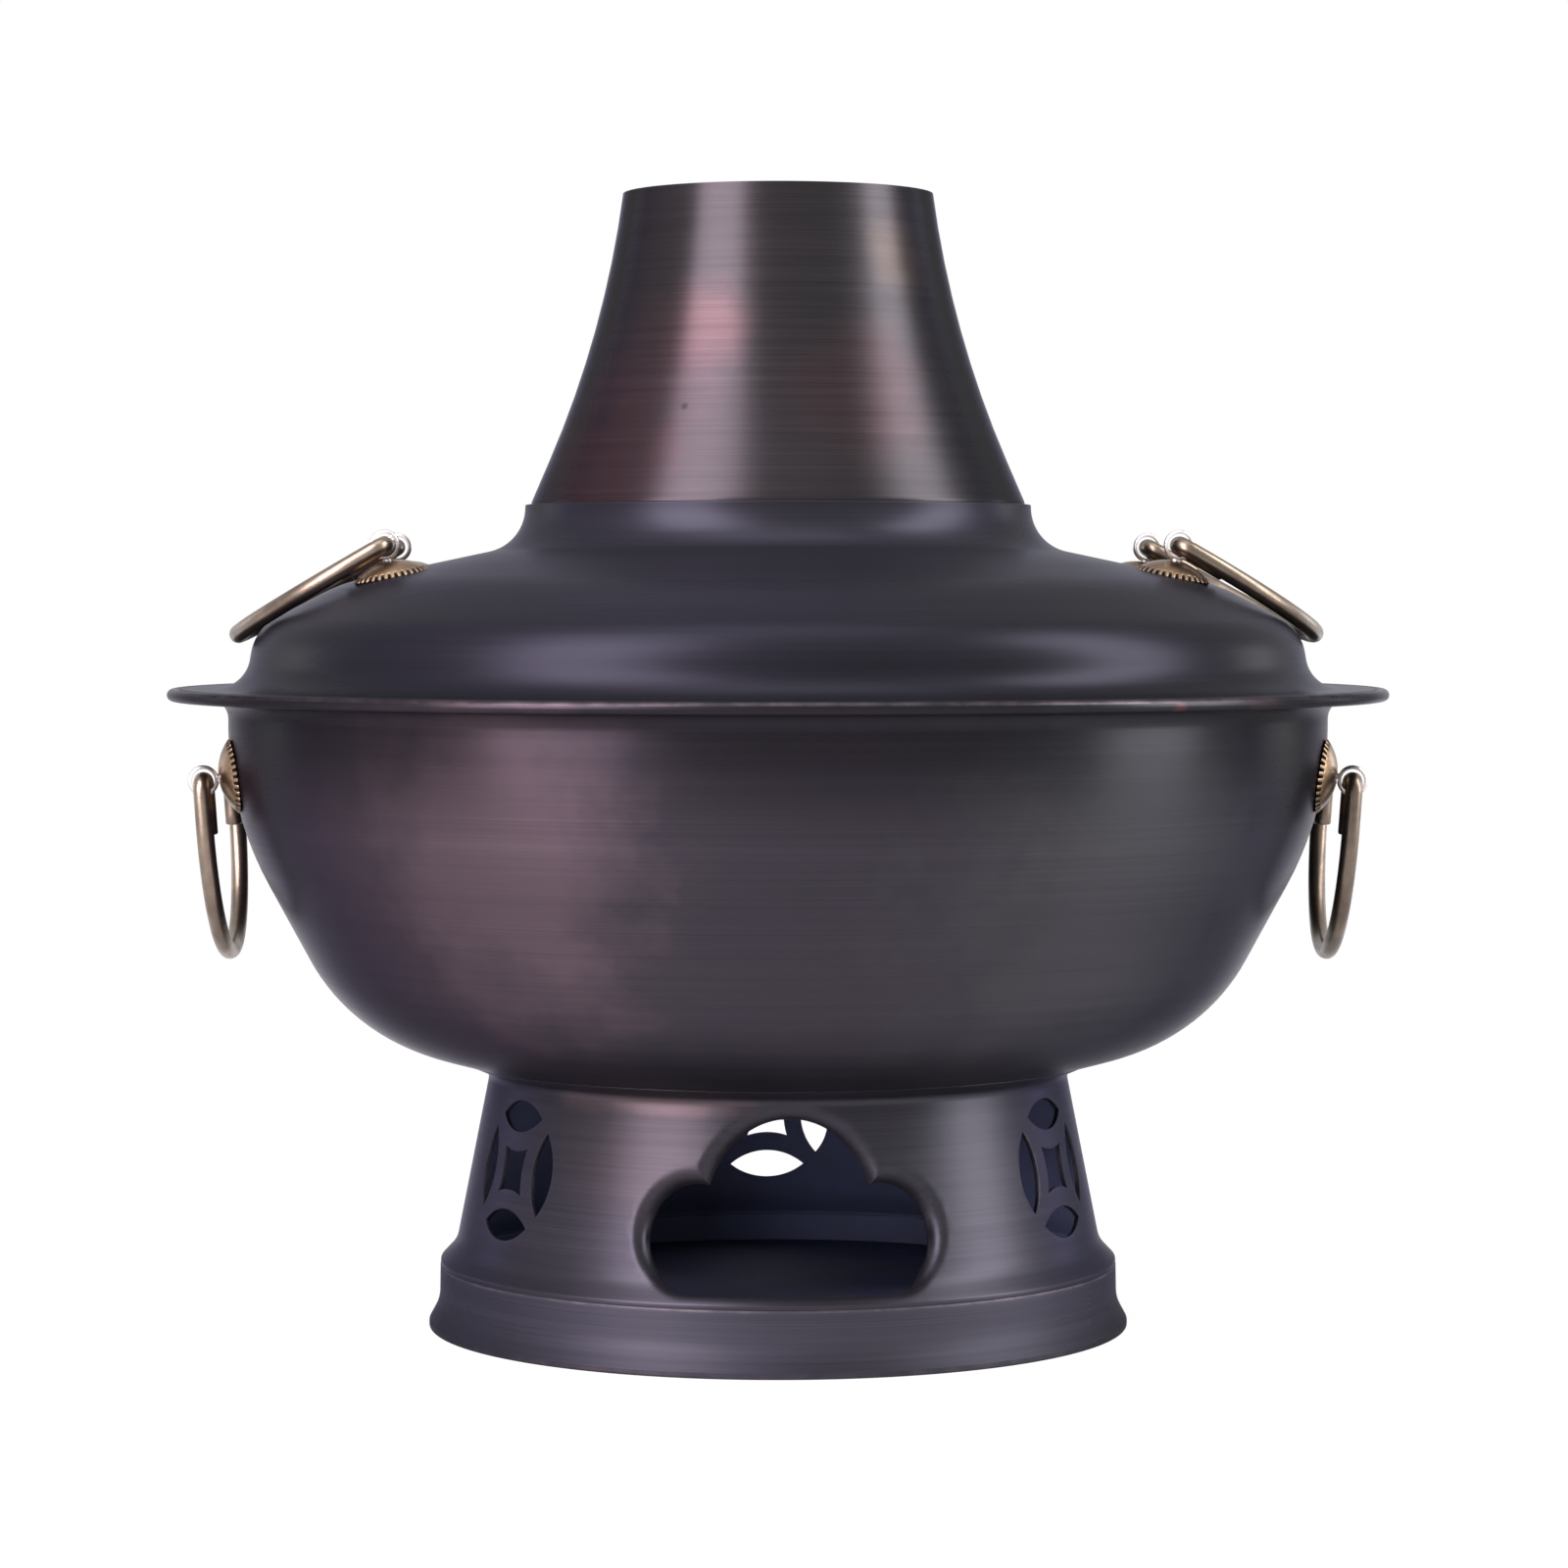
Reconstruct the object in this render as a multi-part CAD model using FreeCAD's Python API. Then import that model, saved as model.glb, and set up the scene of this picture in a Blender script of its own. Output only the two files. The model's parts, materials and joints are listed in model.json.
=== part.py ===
import FreeCAD, Part
import math
import os
from FreeCAD import Vector

# A copper chimney hot pot: a ring-shaped bowl round a charcoal flue, on a vented stand.
# Millimetres. Origin at the centre of the foot's underside, +Z up, the fire door towards -Y.
# Radii grow outwards from the firebox and heights upwards from the foot, so that each piece
# follows the one that carries it.

# ---- walls and fits ----
bowl_wall = 1.8
lid_wall = 1.2
flue_wall = 1.5
chimney_wall = 1.2
stand_wall = 1.2
foot_wall = 1.8
floor_wall = 1.0
solder_gap = 0.1            # between sheets that are soldered one inside the other
lid_bore_gap = 0.6          # lid collar round the chimney
brim_gap = 0.5              # lid brim inside the bowl's rolled edge
grate_gap = 2.0             # grate inside the firebox, clear of its bottom bend
door_fire_gap = 0.6         # turned-in edge of the door round the firebox's bottom
pin_gap = 0.1               # round a split pin's shank
eye_gap = 0.8               # handle wire inside its eye
lie_gap = 0.5               # under a lid handle that lies down

# ---- firebox: the middle of the pot, from which the other radii are reckoned ----
firebox_radius = 80.0
firebox_drop = 6.2          # its bottom below the bowl's floor
firebox_ledge = 6.0         # width of the turned-in bottom that carries the grate
firebox_bend = 3.0
firebox_shoulder_rise = 7.2     # where it starts to close in, above the bowl's flange
firebox_shoulder_bend = 80.0
chimney_seat_drop = 3.3     # the chimney's foot below the bottom of the lid's collar
neck_rise = 11.0            # socket that the chimney is pushed over

# ---- grate ----
grate_thickness = 4.0
grate_slot = 6.0
grate_bar = 6.0
grate_border = 7.0

# ---- chimney ----
chimney_set_in = 9.0        # its foot is this much smaller in radius than the firebox
skirt_rise = 0.7            # straight foot of the chimney above the lid's collar
skirt_bend = 2.4
chimney_knee_in = 21.1
chimney_knee_rise = 48.7
chimney_bend = 290.0
mouth_in = 5.4
mouth_rise = 40.1

# ---- stand: foot band, ash floor, pierced shell ----
foot_height = 18.3
foot_flare = 3.1            # how far the foot's edge stands out from its waist
foot_waist_height = 7.5
foot_edge_height = 1.8
foot_edge_bend = 1.2
foot_bend = 12.0
foot_taper = 0.2            # the band draws in by this much towards its top
floor_drop = 7.9            # ash floor below the top of the foot band
floor_rim = 6.0             # depth of its turned-down edge
floor_bend = 1.5
stand_room = 3.3            # between the firebox and the stand's narrowest place
stand_top_height = 74.6     # underside of the bowl at that place
stand_spread = 9.7          # growth in radius down to the ogee
stand_flange = 7.2          # turned-out edge soldered to the bowl
stand_flange_bend = 2.5
ogee_rise = 6.0             # ogee above the foot band
ogee_out = 4.9
ogee_bend = 9.0
hem_rise = 1.2              # straight edge of the shell on the foot band
hem_bend = 1.0
hem_step = 0.3              # foot band proud of the shell

# ---- fire door and vents ----
stand_turn = 2.3            # the stand's own turn against the handles, degrees
door_sill = 4.0             # bottom of the door above the foot band
door_lobe_radius = 14.5     # the two side lobes of the cloud, measured round the sheet
door_lobe_offset = 27.1
door_crown_radius = 25.1    # the middle lobe
door_lintel = 5.8           # top of the door below the bowl
door_turn_in = 5.5          # depth to which the sheet is turned in round the door
arc_step_count = 8          # points that each lobe's outline is wrapped round the stand by
vent_angles = (60.0, 180.0, 300.0)   # from the door
vent_lift = 1.0             # centre of a vent above the middle of the shell
petal_reach = 15.05         # centre of the vent to the centre of a petal
petal_half_length = 11.45
petal_half_width = 4.35
coin_half_side = 6.4
coin_sag = 1.1

# ---- bowl ----
bowl_floor_slope = 0.275    # rise of the bowl's underside for each mm outwards
bowl_knee_out = 40.3        # from the stand's narrowest place to where the side turns up
bowl_knee_bend = 55.0
bowl_side_out = 34.1
bowl_side_rise = 63.3
bowl_side_bend = 95.0
neck_height = 33.8          # straight top of the side, up to the flange
neck_bend = 5.5
rim_width = 17.3            # flange from the bowl's side to its edge
rim_bead = 3.4              # diameter of the rolled edge

# ---- lid: from its brim on the flange up to its collar round the chimney ----
brim_in = 4.8               # foot of the lid's side inside the bowl's side
brim_bend = 10.0
hip_in = 2.9
hip_rise = 18.2
hip_bend = 14.0
shoulder_in = 24.7
shoulder_rise = 13.1
shoulder_bend = 50.0
slope_rise = 11.2           # from the shoulder to the foot of the collar
collar_bend = 13.0
collar_rise = 11.2
lid_turn = 2.2              # the lid may sit at any angle; degrees anticlockwise from above

# ---- handles: two on the bowl, two on the lid ----
wire = 5.0
eye_strap = 1.1
eye_width = 2.0
rosette_radius = 10.6
rosette_height = 4.3
rosette_wall = 0.9
rosette_lobes = 20
rosette_notch = 0.75        # radius of the groove between two lobes
shank = 2.8
clinch_length = 7.5         # turned end of a split pin, each way
clinch_thickness = 1.0
clinch_gap = 0.5
bail_drop = 50.5            # hinge line to the middle of the wire at the bottom
hook_inner = 0.7            # inside radius of the hook's bends
hook_play = 0.2             # hook beside its eye, each side
hook_tip = 15.0             # the wire's end below the hinge line
bowl_eye_half_span = 34.0
bowl_bail_lean = 4.0        # the bowl's handles hang leaning in towards the bowl, degrees
bowl_rosette_drop = 23.2    # centre of a rosette below the flange
lid_eye_half_span = 38.0
lid_rosette_in = 9.4        # centre of a rosette inside the lid's shoulder

# ---- radii and heights that follow ----
chimney_radius = firebox_radius - chimney_set_in
stand_top_radius = firebox_radius + stand_room
stand_wide_radius = stand_top_radius + stand_spread
foot_waist = stand_wide_radius + ogee_out
bowl_knee_radius = stand_top_radius + bowl_knee_out
bowl_radius = bowl_knee_radius + bowl_side_out
rim_radius = bowl_radius + rim_width
brim_radius = bowl_radius - brim_in
hip_radius = brim_radius - hip_in
shoulder_radius = hip_radius - shoulder_in
ogee_height = foot_height + ogee_rise
bowl_knee_height = stand_top_height + bowl_floor_slope * bowl_knee_out
bowl_side_height = bowl_knee_height + bowl_side_rise
seat_height = bowl_side_height + neck_height
hip_height = seat_height + hip_rise
shoulder_height = hip_height + shoulder_rise
collar_height = shoulder_height + slope_rise
collar_top = collar_height + collar_rise
chimney_foot = collar_height - chimney_seat_drop
skirt_top = collar_top + skirt_rise

axis_up = Vector(0, 0, 1)
axis_out = Vector(1, 0, 0)
axis_side = Vector(0, 1, 0)
origin = Vector(0, 0, 0)
full_turn = 360.0
cut_reach = 10.0            # how far a cutting body runs past what it cuts
hook_bend = wire / 2 + hook_inner
eye_bore = wire / 2 + eye_gap
eye_outer = eye_bore + eye_strap
eye_rise = rosette_height + eye_outer


def point(radius, height):
    return Vector(radius, 0, height)


def unit(vector):
    return vector * (1.0 / vector.Length)


def rounded_path(corners):
    """Edges along (radius, height, bend) corners, each corner rounded to its bend."""
    edges = []
    start = point(corners[0][0], corners[0][1])
    for before, corner, after in zip(corners, corners[1:], corners[2:]):
        middle = point(corner[0], corner[1])
        if corner[2] <= 0:
            edges.append(Part.LineSegment(start, middle).toShape())
            start = middle
            continue
        back = unit(point(before[0], before[1]) - middle)
        ahead = unit(point(after[0], after[1]) - middle)
        half = back.getAngle(ahead) / 2
        tangent = corner[2] / math.tan(half)
        first = middle + back * tangent
        last = middle + ahead * tangent
        centre = middle + unit(back + ahead) * (corner[2] / math.sin(half))
        top = centre - unit(back + ahead) * corner[2]
        edges.append(Part.LineSegment(start, first).toShape())
        edges.append(Part.Arc(first, top, last).toShape())
        start = last
    edges.append(Part.LineSegment(start, point(corners[-1][0], corners[-1][1])).toShape())
    return edges


def shifted(corners, wall):
    """The same corners moved by one wall to the left of the way they run."""
    moved = []
    last = len(corners) - 1
    for index, corner in enumerate(corners):
        here = point(corner[0], corner[1])
        sides = []
        if index > 0:
            sides.append(unit(here - point(*corners[index - 1][:2])))
        if index < last:
            sides.append(unit(point(*corners[index + 1][:2]) - here))
        normals = [Vector(-side.z, 0, side.x) for side in sides]
        if len(normals) == 1:
            offset = normals[0] * wall
            bend = 0
        else:
            both = normals[0] + normals[1]
            offset = both * (2 * wall / both.dot(both))
            turn = sides[0].x * sides[1].z - sides[0].z * sides[1].x
            bend = corner[2] - wall if turn > 0 else corner[2] + wall
            bend = max(bend, 0) if corner[2] > 0 else 0
        moved.append((here.x + offset.x, here.z + offset.z, bend))
    return moved


def spun_between(outer, inner):
    """Spin the area between two rows of corners round the pot's axis."""
    edges = rounded_path(outer) + rounded_path(inner)
    for end in (0, -1):
        first = point(*outer[end][:2])
        second = point(*inner[end][:2])
        edges.append(Part.LineSegment(first, second).toShape())
    face = Part.Face(Part.Wire(Part.__sortEdges__(edges)))
    return face.revolve(origin, axis_up, full_turn)


def spun_sheet(corners, wall):
    """A spun sheet: the corners are its outside, the wall lies to their left."""
    return spun_between(corners, shifted(corners, wall))


def turned(shape, angle):
    copy = shape.copy()
    copy.rotate(origin, axis_up, angle)
    return copy


def bowl_underside(radius):
    return stand_top_height + bowl_floor_slope * (radius - stand_top_radius)


def stand_radius(height):
    """Outside of the stand's cone, carried on below the ogee and above the waist."""
    share = (stand_top_height - stand_wall - height) / (stand_top_height - stand_wall - ogee_height)
    return stand_top_radius + stand_spread * share


# ---------------------------------------------------------------- bowl and flue

def make_bowl():
    bead_radius = rim_radius - rim_bead / 2
    flange_bottom = seat_height - bowl_wall
    mouth_radius = firebox_radius + solder_gap
    inside = mouth_radius - 2 * bowl_wall
    corners = [
        (inside, bowl_underside(inside), 0),
        (bowl_knee_radius, bowl_knee_height, bowl_knee_bend),
        (bowl_radius, bowl_side_height, bowl_side_bend),
        (bowl_radius, flange_bottom, neck_bend),
        (bead_radius, flange_bottom, 0),
    ]
    bead_height = seat_height + lid_wall - rim_bead / 2
    bead = Part.makeTorus(bead_radius, rim_bead / 2, Vector(0, 0, bead_height), axis_up)
    mouth = Part.makeCylinder(mouth_radius, bowl_knee_height)
    return spun_sheet(corners, bowl_wall).fuse(bead).removeSplitter().cut(mouth)


def firebox_bottom():
    return bowl_underside(firebox_radius + solder_gap) - firebox_drop


def make_firebox():
    neck = chimney_radius - chimney_wall - solder_gap
    corners = [
        (firebox_radius - firebox_ledge, firebox_bottom(), 0),
        (firebox_radius, firebox_bottom(), firebox_bend),
        (firebox_radius, seat_height + firebox_shoulder_rise, firebox_shoulder_bend),
        (chimney_radius, chimney_foot, 0),
        (neck, chimney_foot, 0),
        (neck, chimney_foot + neck_rise, 0),
    ]
    return spun_sheet(corners, flue_wall)


def make_chimney():
    knee_radius = chimney_radius - chimney_knee_in
    knee_height = skirt_top + chimney_knee_rise
    corners = [
        (chimney_radius, chimney_foot, 0),
        (chimney_radius, skirt_top, skirt_bend),
        (knee_radius, knee_height, chimney_bend),
        (knee_radius - mouth_in, knee_height + mouth_rise, 0),
    ]
    return spun_sheet(corners, chimney_wall)


def make_grate():
    radius = firebox_radius - flue_wall - grate_gap
    base = firebox_bottom() + flue_wall
    plate = Part.makeCylinder(radius, grate_thickness, Vector(0, 0, base))
    field = radius - grate_border
    pitch = grate_slot + grate_bar
    rows = int((field - grate_slot) // pitch)
    for row in range(-rows, rows + 1):
        across = row * pitch
        reach = math.sqrt(field ** 2 - (abs(across) + grate_slot / 2) ** 2)
        corner = Vector(-reach, across - grate_slot / 2, base)
        plate = plate.cut(Part.makeBox(2 * reach, grate_slot, grate_thickness, corner))
    return plate


# ---------------------------------------------------------------- stand

def door_wire(depth, margin):
    """The cloud on the stand's wall, grown by a margin, thrown from the axis on to y = -depth."""
    base = foot_height + door_sill
    lobe = door_lobe_radius + margin
    crown = door_crown_radius + margin
    lobe_height = base + door_lobe_radius
    crown_height = stand_top_height - door_lintel - door_crown_radius
    across = door_lobe_offset
    up = crown_height - lobe_height
    gap = math.hypot(across, up)
    along = (gap ** 2 + lobe ** 2 - crown ** 2) / (2 * gap)
    aside = math.sqrt(lobe ** 2 - along ** 2)
    cusp = across - along * across / gap + aside * up / gap
    cusp_height = lobe_height + along * up / gap + aside * across / gap
    low = base - margin
    wrap_radius = stand_radius(lobe_height)

    def place(x, height):
        return Vector(depth * math.tan(x / wrap_radius), -depth, height)

    def bulge(start, through, end):
        arc = Part.Arc(point(*start), point(*through), point(*end))
        step = (arc.LastParameter - arc.FirstParameter) / arc_step_count
        marks = [arc.value(arc.FirstParameter + count * step) for count in range(arc_step_count + 1)]
        spline = Part.BSplineCurve()
        spline.interpolate([place(mark.x, mark.z) for mark in marks])
        return spline.toShape()

    return Part.Wire([
        bulge((-cusp, cusp_height), (0, crown_height + crown), (cusp, cusp_height)),
        bulge((cusp, cusp_height), (across + lobe, lobe_height), (across, low)),
        Part.LineSegment(place(across, low), place(-across, low)).toShape(),
        bulge((-across, low), (-across - lobe, lobe_height), (-cusp, cusp_height)),
    ])


def door_plug(margin):
    """A body that fans out from the pot's axis through the cloud outline."""
    near = door_wire(stand_top_radius / 2, margin)
    far = door_wire(foot_waist + foot_flare + cut_reach, margin)
    return Part.makeLoft([near, far], True, True)


def closed_face(edges):
    return Part.Face(Part.Wire(Part.__sortEdges__(edges)))


def petal(x, height, upright):
    """One leaf-shaped hole, two arcs from tip to tip, cut along Y."""
    long_way = Vector(0, 0, petal_half_length) if upright else Vector(petal_half_length, 0, 0)
    short_way = Vector(petal_half_width, 0, 0) if upright else Vector(0, 0, petal_half_width)
    centre = point(x, height)
    sides = (centre - short_way, centre + short_way)
    return closed_face([Part.Arc(centre - long_way, side, centre + long_way).toShape()
                        for side in sides])


def coin_square(height):
    half = coin_half_side
    waist = coin_half_side - coin_sag
    corners = [(half, half), (-half, half), (-half, -half), (half, -half)]
    middles = [(0, waist), (-waist, 0), (0, -waist), (waist, 0)]
    edges = []
    for corner, middle, after in zip(corners, middles, corners[1:] + corners[:1]):
        ends = [point(x, height + up) for x, up in (corner, middle, after)]
        edges.append(Part.Arc(*ends).toShape())
    return closed_face(edges)


def vent_cutters():
    """Old coin pattern: a hollow-sided square with four leaves round it."""
    height = (ogee_height + stand_top_height - stand_wall) / 2 + vent_lift
    faces = [coin_square(height)]
    for sign in (-1, 1):
        faces.append(petal(sign * petal_reach, height, True))
        faces.append(petal(0, height + sign * petal_reach, False))
    outward = Vector(0, -foot_waist, 0)
    for face in faces:
        face.translate(Vector(0, -stand_top_radius / 2, 0))
    return [face.extrude(outward) for face in faces]


def make_stand():
    upright_wall = stand_wall * math.hypot(1, bowl_floor_slope)
    flange_radius = stand_top_radius + stand_flange
    hem_radius = foot_waist - hem_step
    corners = [
        (hem_radius, foot_height, 0),
        (hem_radius, foot_height + hem_rise, hem_bend),
        (stand_wide_radius, ogee_height, ogee_bend),
        (stand_top_radius, stand_top_height - upright_wall, stand_flange_bend),
        (flange_radius, bowl_underside(flange_radius) - upright_wall, 0),
    ]
    shell = spun_sheet(corners, stand_wall).fuse(make_door_block(corners)).cut(door_plug(0))
    for angle in vent_angles:
        for cutter in vent_cutters():
            shell = shell.cut(turned(cutter, angle))
    return turned(shell, stand_turn)


def make_door_block(corners):
    """Metal behind the wall; the door cut through it leaves the sheet's turned-in edge."""
    low = foot_height
    high = stand_top_height - stand_wall
    middle = shifted(corners, stand_wall / 2)
    within = spun_between(middle, [(0, middle[0][1], 0), (0, middle[-1][1], 0)])
    hollow = Part.makeCone(stand_radius(low) - door_turn_in, stand_radius(high) - door_turn_in,
                           high - low, Vector(0, 0, low), axis_up)
    fire_room = Part.makeCylinder(firebox_radius + door_fire_gap, high,
                                  Vector(0, 0, firebox_bottom() - door_fire_gap))
    return door_plug(stand_wall).common(within).cut(hollow).cut(fire_room)


def make_foot_ring():
    foot_radius = foot_waist + foot_flare
    corners = [
        (foot_radius, 0, 0),
        (foot_radius, foot_edge_height, foot_edge_bend),
        (foot_waist, foot_waist_height, foot_bend),
        (foot_waist - foot_taper, foot_height, 0),
    ]
    return spun_sheet(corners, foot_wall)


def make_ash_floor():
    rim = foot_waist - foot_taper - foot_wall - 2 * solder_gap
    height = foot_height - floor_drop
    corners = [
        (rim, height - floor_rim, 0),
        (rim, height, floor_bend),
        (0, height, 0),
    ]
    return spun_between(corners, shifted(corners, floor_wall))


# ---------------------------------------------------------------- lid

def collar_radius():
    return chimney_radius + lid_bore_gap + lid_wall


def make_lid():
    brim_top = seat_height + lid_wall
    corners = [
        (rim_radius - rim_bead - brim_gap, brim_top, 0),
        (brim_radius, brim_top, brim_bend),
        (hip_radius, hip_height, hip_bend),
        (shoulder_radius, shoulder_height, shoulder_bend),
        (collar_radius(), collar_height, collar_bend),
        (collar_radius(), collar_top, 0),
    ]
    return spun_sheet(corners, lid_wall)


# ---------------------------------------------------------------- handles

def bowl_rosette_seat():
    """Where a rosette sits on the bowl: radius, height and how far the wall faces upwards."""
    height = seat_height - bowl_rosette_drop
    turn = math.atan2(bowl_side_out, bowl_side_rise)
    bend_top = bowl_side_height + bowl_side_bend * math.tan(turn / 2)
    lean = math.asin(max(bend_top - height, 0) / bowl_side_bend)
    return bowl_radius - bowl_side_bend * (1 - math.cos(lean)), height, -lean


def lid_rosette_seat():
    slope = slope_rise / (shoulder_radius - collar_radius())
    height = shoulder_height + slope * lid_rosette_in
    return shoulder_radius - lid_rosette_in, height, math.pi / 2 - math.atan(slope)


def on_wall(shape, seat, azimuth, twist=0.0):
    """Move a piece made along +X at the origin to its seat on a spun wall."""
    radius, height, lean = seat
    placed = shape.copy()
    placed.rotate(origin, axis_out, twist)
    placed.rotate(origin, axis_side, -math.degrees(lean))
    placed.translate(Vector(radius, 0, height))
    placed.rotate(origin, axis_up, azimuth)
    return placed


def eye_twist(seat, swing):
    """Turn of an eye on its own shank, so that its bore faces the other eye of the pair."""
    off_line = math.radians(swing)
    return math.degrees(math.atan2(-math.sin(seat[2]) * math.sin(off_line), math.cos(off_line)))


def eye_radius(seat):
    return seat[0] + eye_rise * math.cos(seat[2])


def eye_height(seat):
    return seat[1] + eye_rise * math.sin(seat[2])


def make_rosette():
    """A scalloped dome, its rim on the plane x = 0 and its crown towards +X."""
    ball = (rosette_radius ** 2 + rosette_height ** 2) / (2 * rosette_height)
    centre = Vector(rosette_height - ball, 0, 0)
    outside = Part.makeSphere(ball, centre)
    inside = Part.makeSphere(ball - rosette_wall, centre)
    front = Part.makeBox(2 * ball, 4 * ball, 4 * ball, Vector(0, -2 * ball, -2 * ball))
    dome = outside.cut(inside).common(front)
    depth = rosette_height + 2 * cut_reach
    for index in range(rosette_lobes):
        angle = 2 * math.pi * index / rosette_lobes
        start = Vector(-cut_reach, rosette_radius * math.cos(angle), rosette_radius * math.sin(angle))
        dome = dome.cut(Part.makeCylinder(rosette_notch, depth, start, axis_out))
    return dome.cut(Part.makeCylinder(shank / 2 + pin_gap, depth, Vector(-cut_reach, 0, 0), axis_out))


def make_eye(wall):
    """A split pin: its eye round the handle wire, its shank through the wall, its ends turned."""
    centre = Vector(eye_rise, -eye_width / 2, 0)
    ring = Part.makeCylinder(eye_outer, eye_width, centre, axis_side)
    bore = Part.makeCylinder(eye_bore, eye_width, centre, axis_side)
    back = wall + clinch_gap + clinch_thickness
    reach = back + rosette_height + eye_strap / 2
    stem = Part.makeCylinder(shank / 2, reach, Vector(-back, 0, 0), axis_out)
    clinch = Part.makeBox(clinch_thickness, shank, 2 * clinch_length,
                          Vector(-back, -shank / 2, -clinch_length))
    return ring.fuse(stem).cut(bore).fuse(clinch).removeSplitter()


def pin_hole(wall):
    start = Vector(-wall - cut_reach, 0, 0)
    return Part.makeCylinder(shank / 2 + pin_gap, wall + 2 * cut_reach, start, axis_out)


def hook_offsets(half_span):
    """How far from the middle a handle's outer strand and its turned-back end lie."""
    aside = hook_bend + eye_width / 2 + hook_play
    return half_span + aside, half_span - aside


def bail_path(half_span):
    """Centre line of a handle that hangs from hooks on the Y axis: a half ring with J ends."""
    strand, inner = hook_offsets(half_span)
    ring_height = strand - bail_drop
    corner = hook_bend * (1 - math.sqrt(0.5))
    edges = []
    for side in (-1, 1):

        def at(across, height):
            return Vector(0, side * across, height)

        low = at(0, -bail_drop)
        slant = strand * math.sqrt(0.5)
        edges.append(Part.Arc(low, at(slant, ring_height - slant), at(strand, ring_height)).toShape())
        edges.append(Part.LineSegment(at(strand, ring_height), at(strand, -hook_bend)).toShape())
        edges.append(Part.Arc(at(strand, -hook_bend), at(strand - corner, -corner),
                              at(strand - hook_bend, 0)).toShape())
        edges.append(Part.LineSegment(at(strand - hook_bend, 0), at(inner + hook_bend, 0)).toShape())
        edges.append(Part.Arc(at(inner + hook_bend, 0), at(inner + corner, -corner),
                              at(inner, -hook_bend)).toShape())
        edges.append(Part.LineSegment(at(inner, -hook_bend), at(inner, -hook_tip)).toShape())
    return Part.Wire(Part.__sortEdges__(edges))


def make_bail(half_span):
    end = Vector(0, hook_offsets(half_span)[1], -hook_tip)
    circle = Part.Wire(Part.makeCircle(wire / 2, end, axis_up))
    return bail_path(half_span).makePipeShell([circle], True, False)


def on_hinge(shape, seat, half_span, lift, azimuth):
    """Hang a handle on its hinge line, swung outwards by a lift angle, on one side."""
    placed = shape.copy()
    placed.rotate(origin, axis_side, -lift)
    across = math.sqrt(eye_radius(seat) ** 2 - half_span ** 2)
    placed.translate(Vector(across, 0, eye_height(seat)))
    placed.rotate(origin, axis_up, azimuth)
    return placed


def lying_lift(shell, seat, half_span):
    """The lift at which a handle's wire lies just above the lid."""
    path = bail_path(half_span)
    wanted = wire / 2 + lie_gap
    low = 0.0
    high = 90.0
    halvings = 12
    for _ in range(halvings):
        lift = (low + high) / 2
        if on_hinge(path, seat, half_span, lift, 0.0).distToShape(shell)[0] < wanted:
            low = lift
        else:
            high = lift
    return high


def handle_set(prefix, wall, seat, half_span, lift, turn, parts):
    """Two handles, each with two rosettes and two eyes, at the right and left sides."""
    swing = math.degrees(math.asin(half_span / eye_radius(seat)))
    rosette = make_rosette()
    eye = make_eye(wall)
    bail = make_bail(half_span)
    shell = parts[prefix + "_shell"]
    for side, azimuth, to_front in (("right", 0.0, -1), ("left", 180.0, 1)):
        for place, sign in (("front", to_front), ("back", -to_front)):
            angle = azimuth + sign * swing + turn
            name = "{}_{}_{}".format(prefix, side, place)
            parts[name + "_rosette"] = on_wall(rosette, seat, angle)
            parts[name + "_eye"] = on_wall(eye, seat, angle, eye_twist(seat, sign * swing))
            shell = shell.cut(on_wall(pin_hole(wall), seat, angle))
        handle = on_hinge(bail, seat, half_span, lift, azimuth + turn)
        parts["{}_{}_handle".format(prefix, side)] = handle
    parts[prefix + "_shell"] = shell


def main():
    parts = {
        "bowl_shell": make_bowl(),
        "firebox": make_firebox(),
        "chimney": make_chimney(),
        "grate": make_grate(),
        "stand_shell": make_stand(),
        "foot_ring": make_foot_ring(),
        "ash_floor": make_ash_floor(),
        "lid_shell": make_lid(),
    }
    lid_seat = lid_rosette_seat()
    lid_lift = lying_lift(parts["lid_shell"], lid_seat, lid_eye_half_span)
    handle_set("bowl", bowl_wall, bowl_rosette_seat(), bowl_eye_half_span, -bowl_bail_lean, 0.0, parts)
    handle_set("lid", lid_wall, lid_seat, lid_eye_half_span, lid_lift, lid_turn, parts)
    os.makedirs("parts", exist_ok=True)
    for name, shape in parts.items():
        solids = shape.Solids
        shape = solids[0] if len(solids) == 1 else Part.makeCompound(solids)
        print(name, len(solids), shape.isValid(), round(shape.Volume, 1))
        shape.exportStep("parts/" + name + ".step")
    print("lid handles lie", round(90.0 - lid_lift, 2), "degrees below level")
    for name, seat, half_span in (("bowl", bowl_rosette_seat(), bowl_eye_half_span),
                                  ("lid", lid_seat, lid_eye_half_span)):
        across = math.sqrt(eye_radius(seat) ** 2 - half_span ** 2)
        print(name, "hinge line", round(across, 3), "out,", round(eye_height(seat), 3), "up")


main()
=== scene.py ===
import json
import math
import bpy
import bmesh
from mathutils import Matrix, Vector


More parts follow.
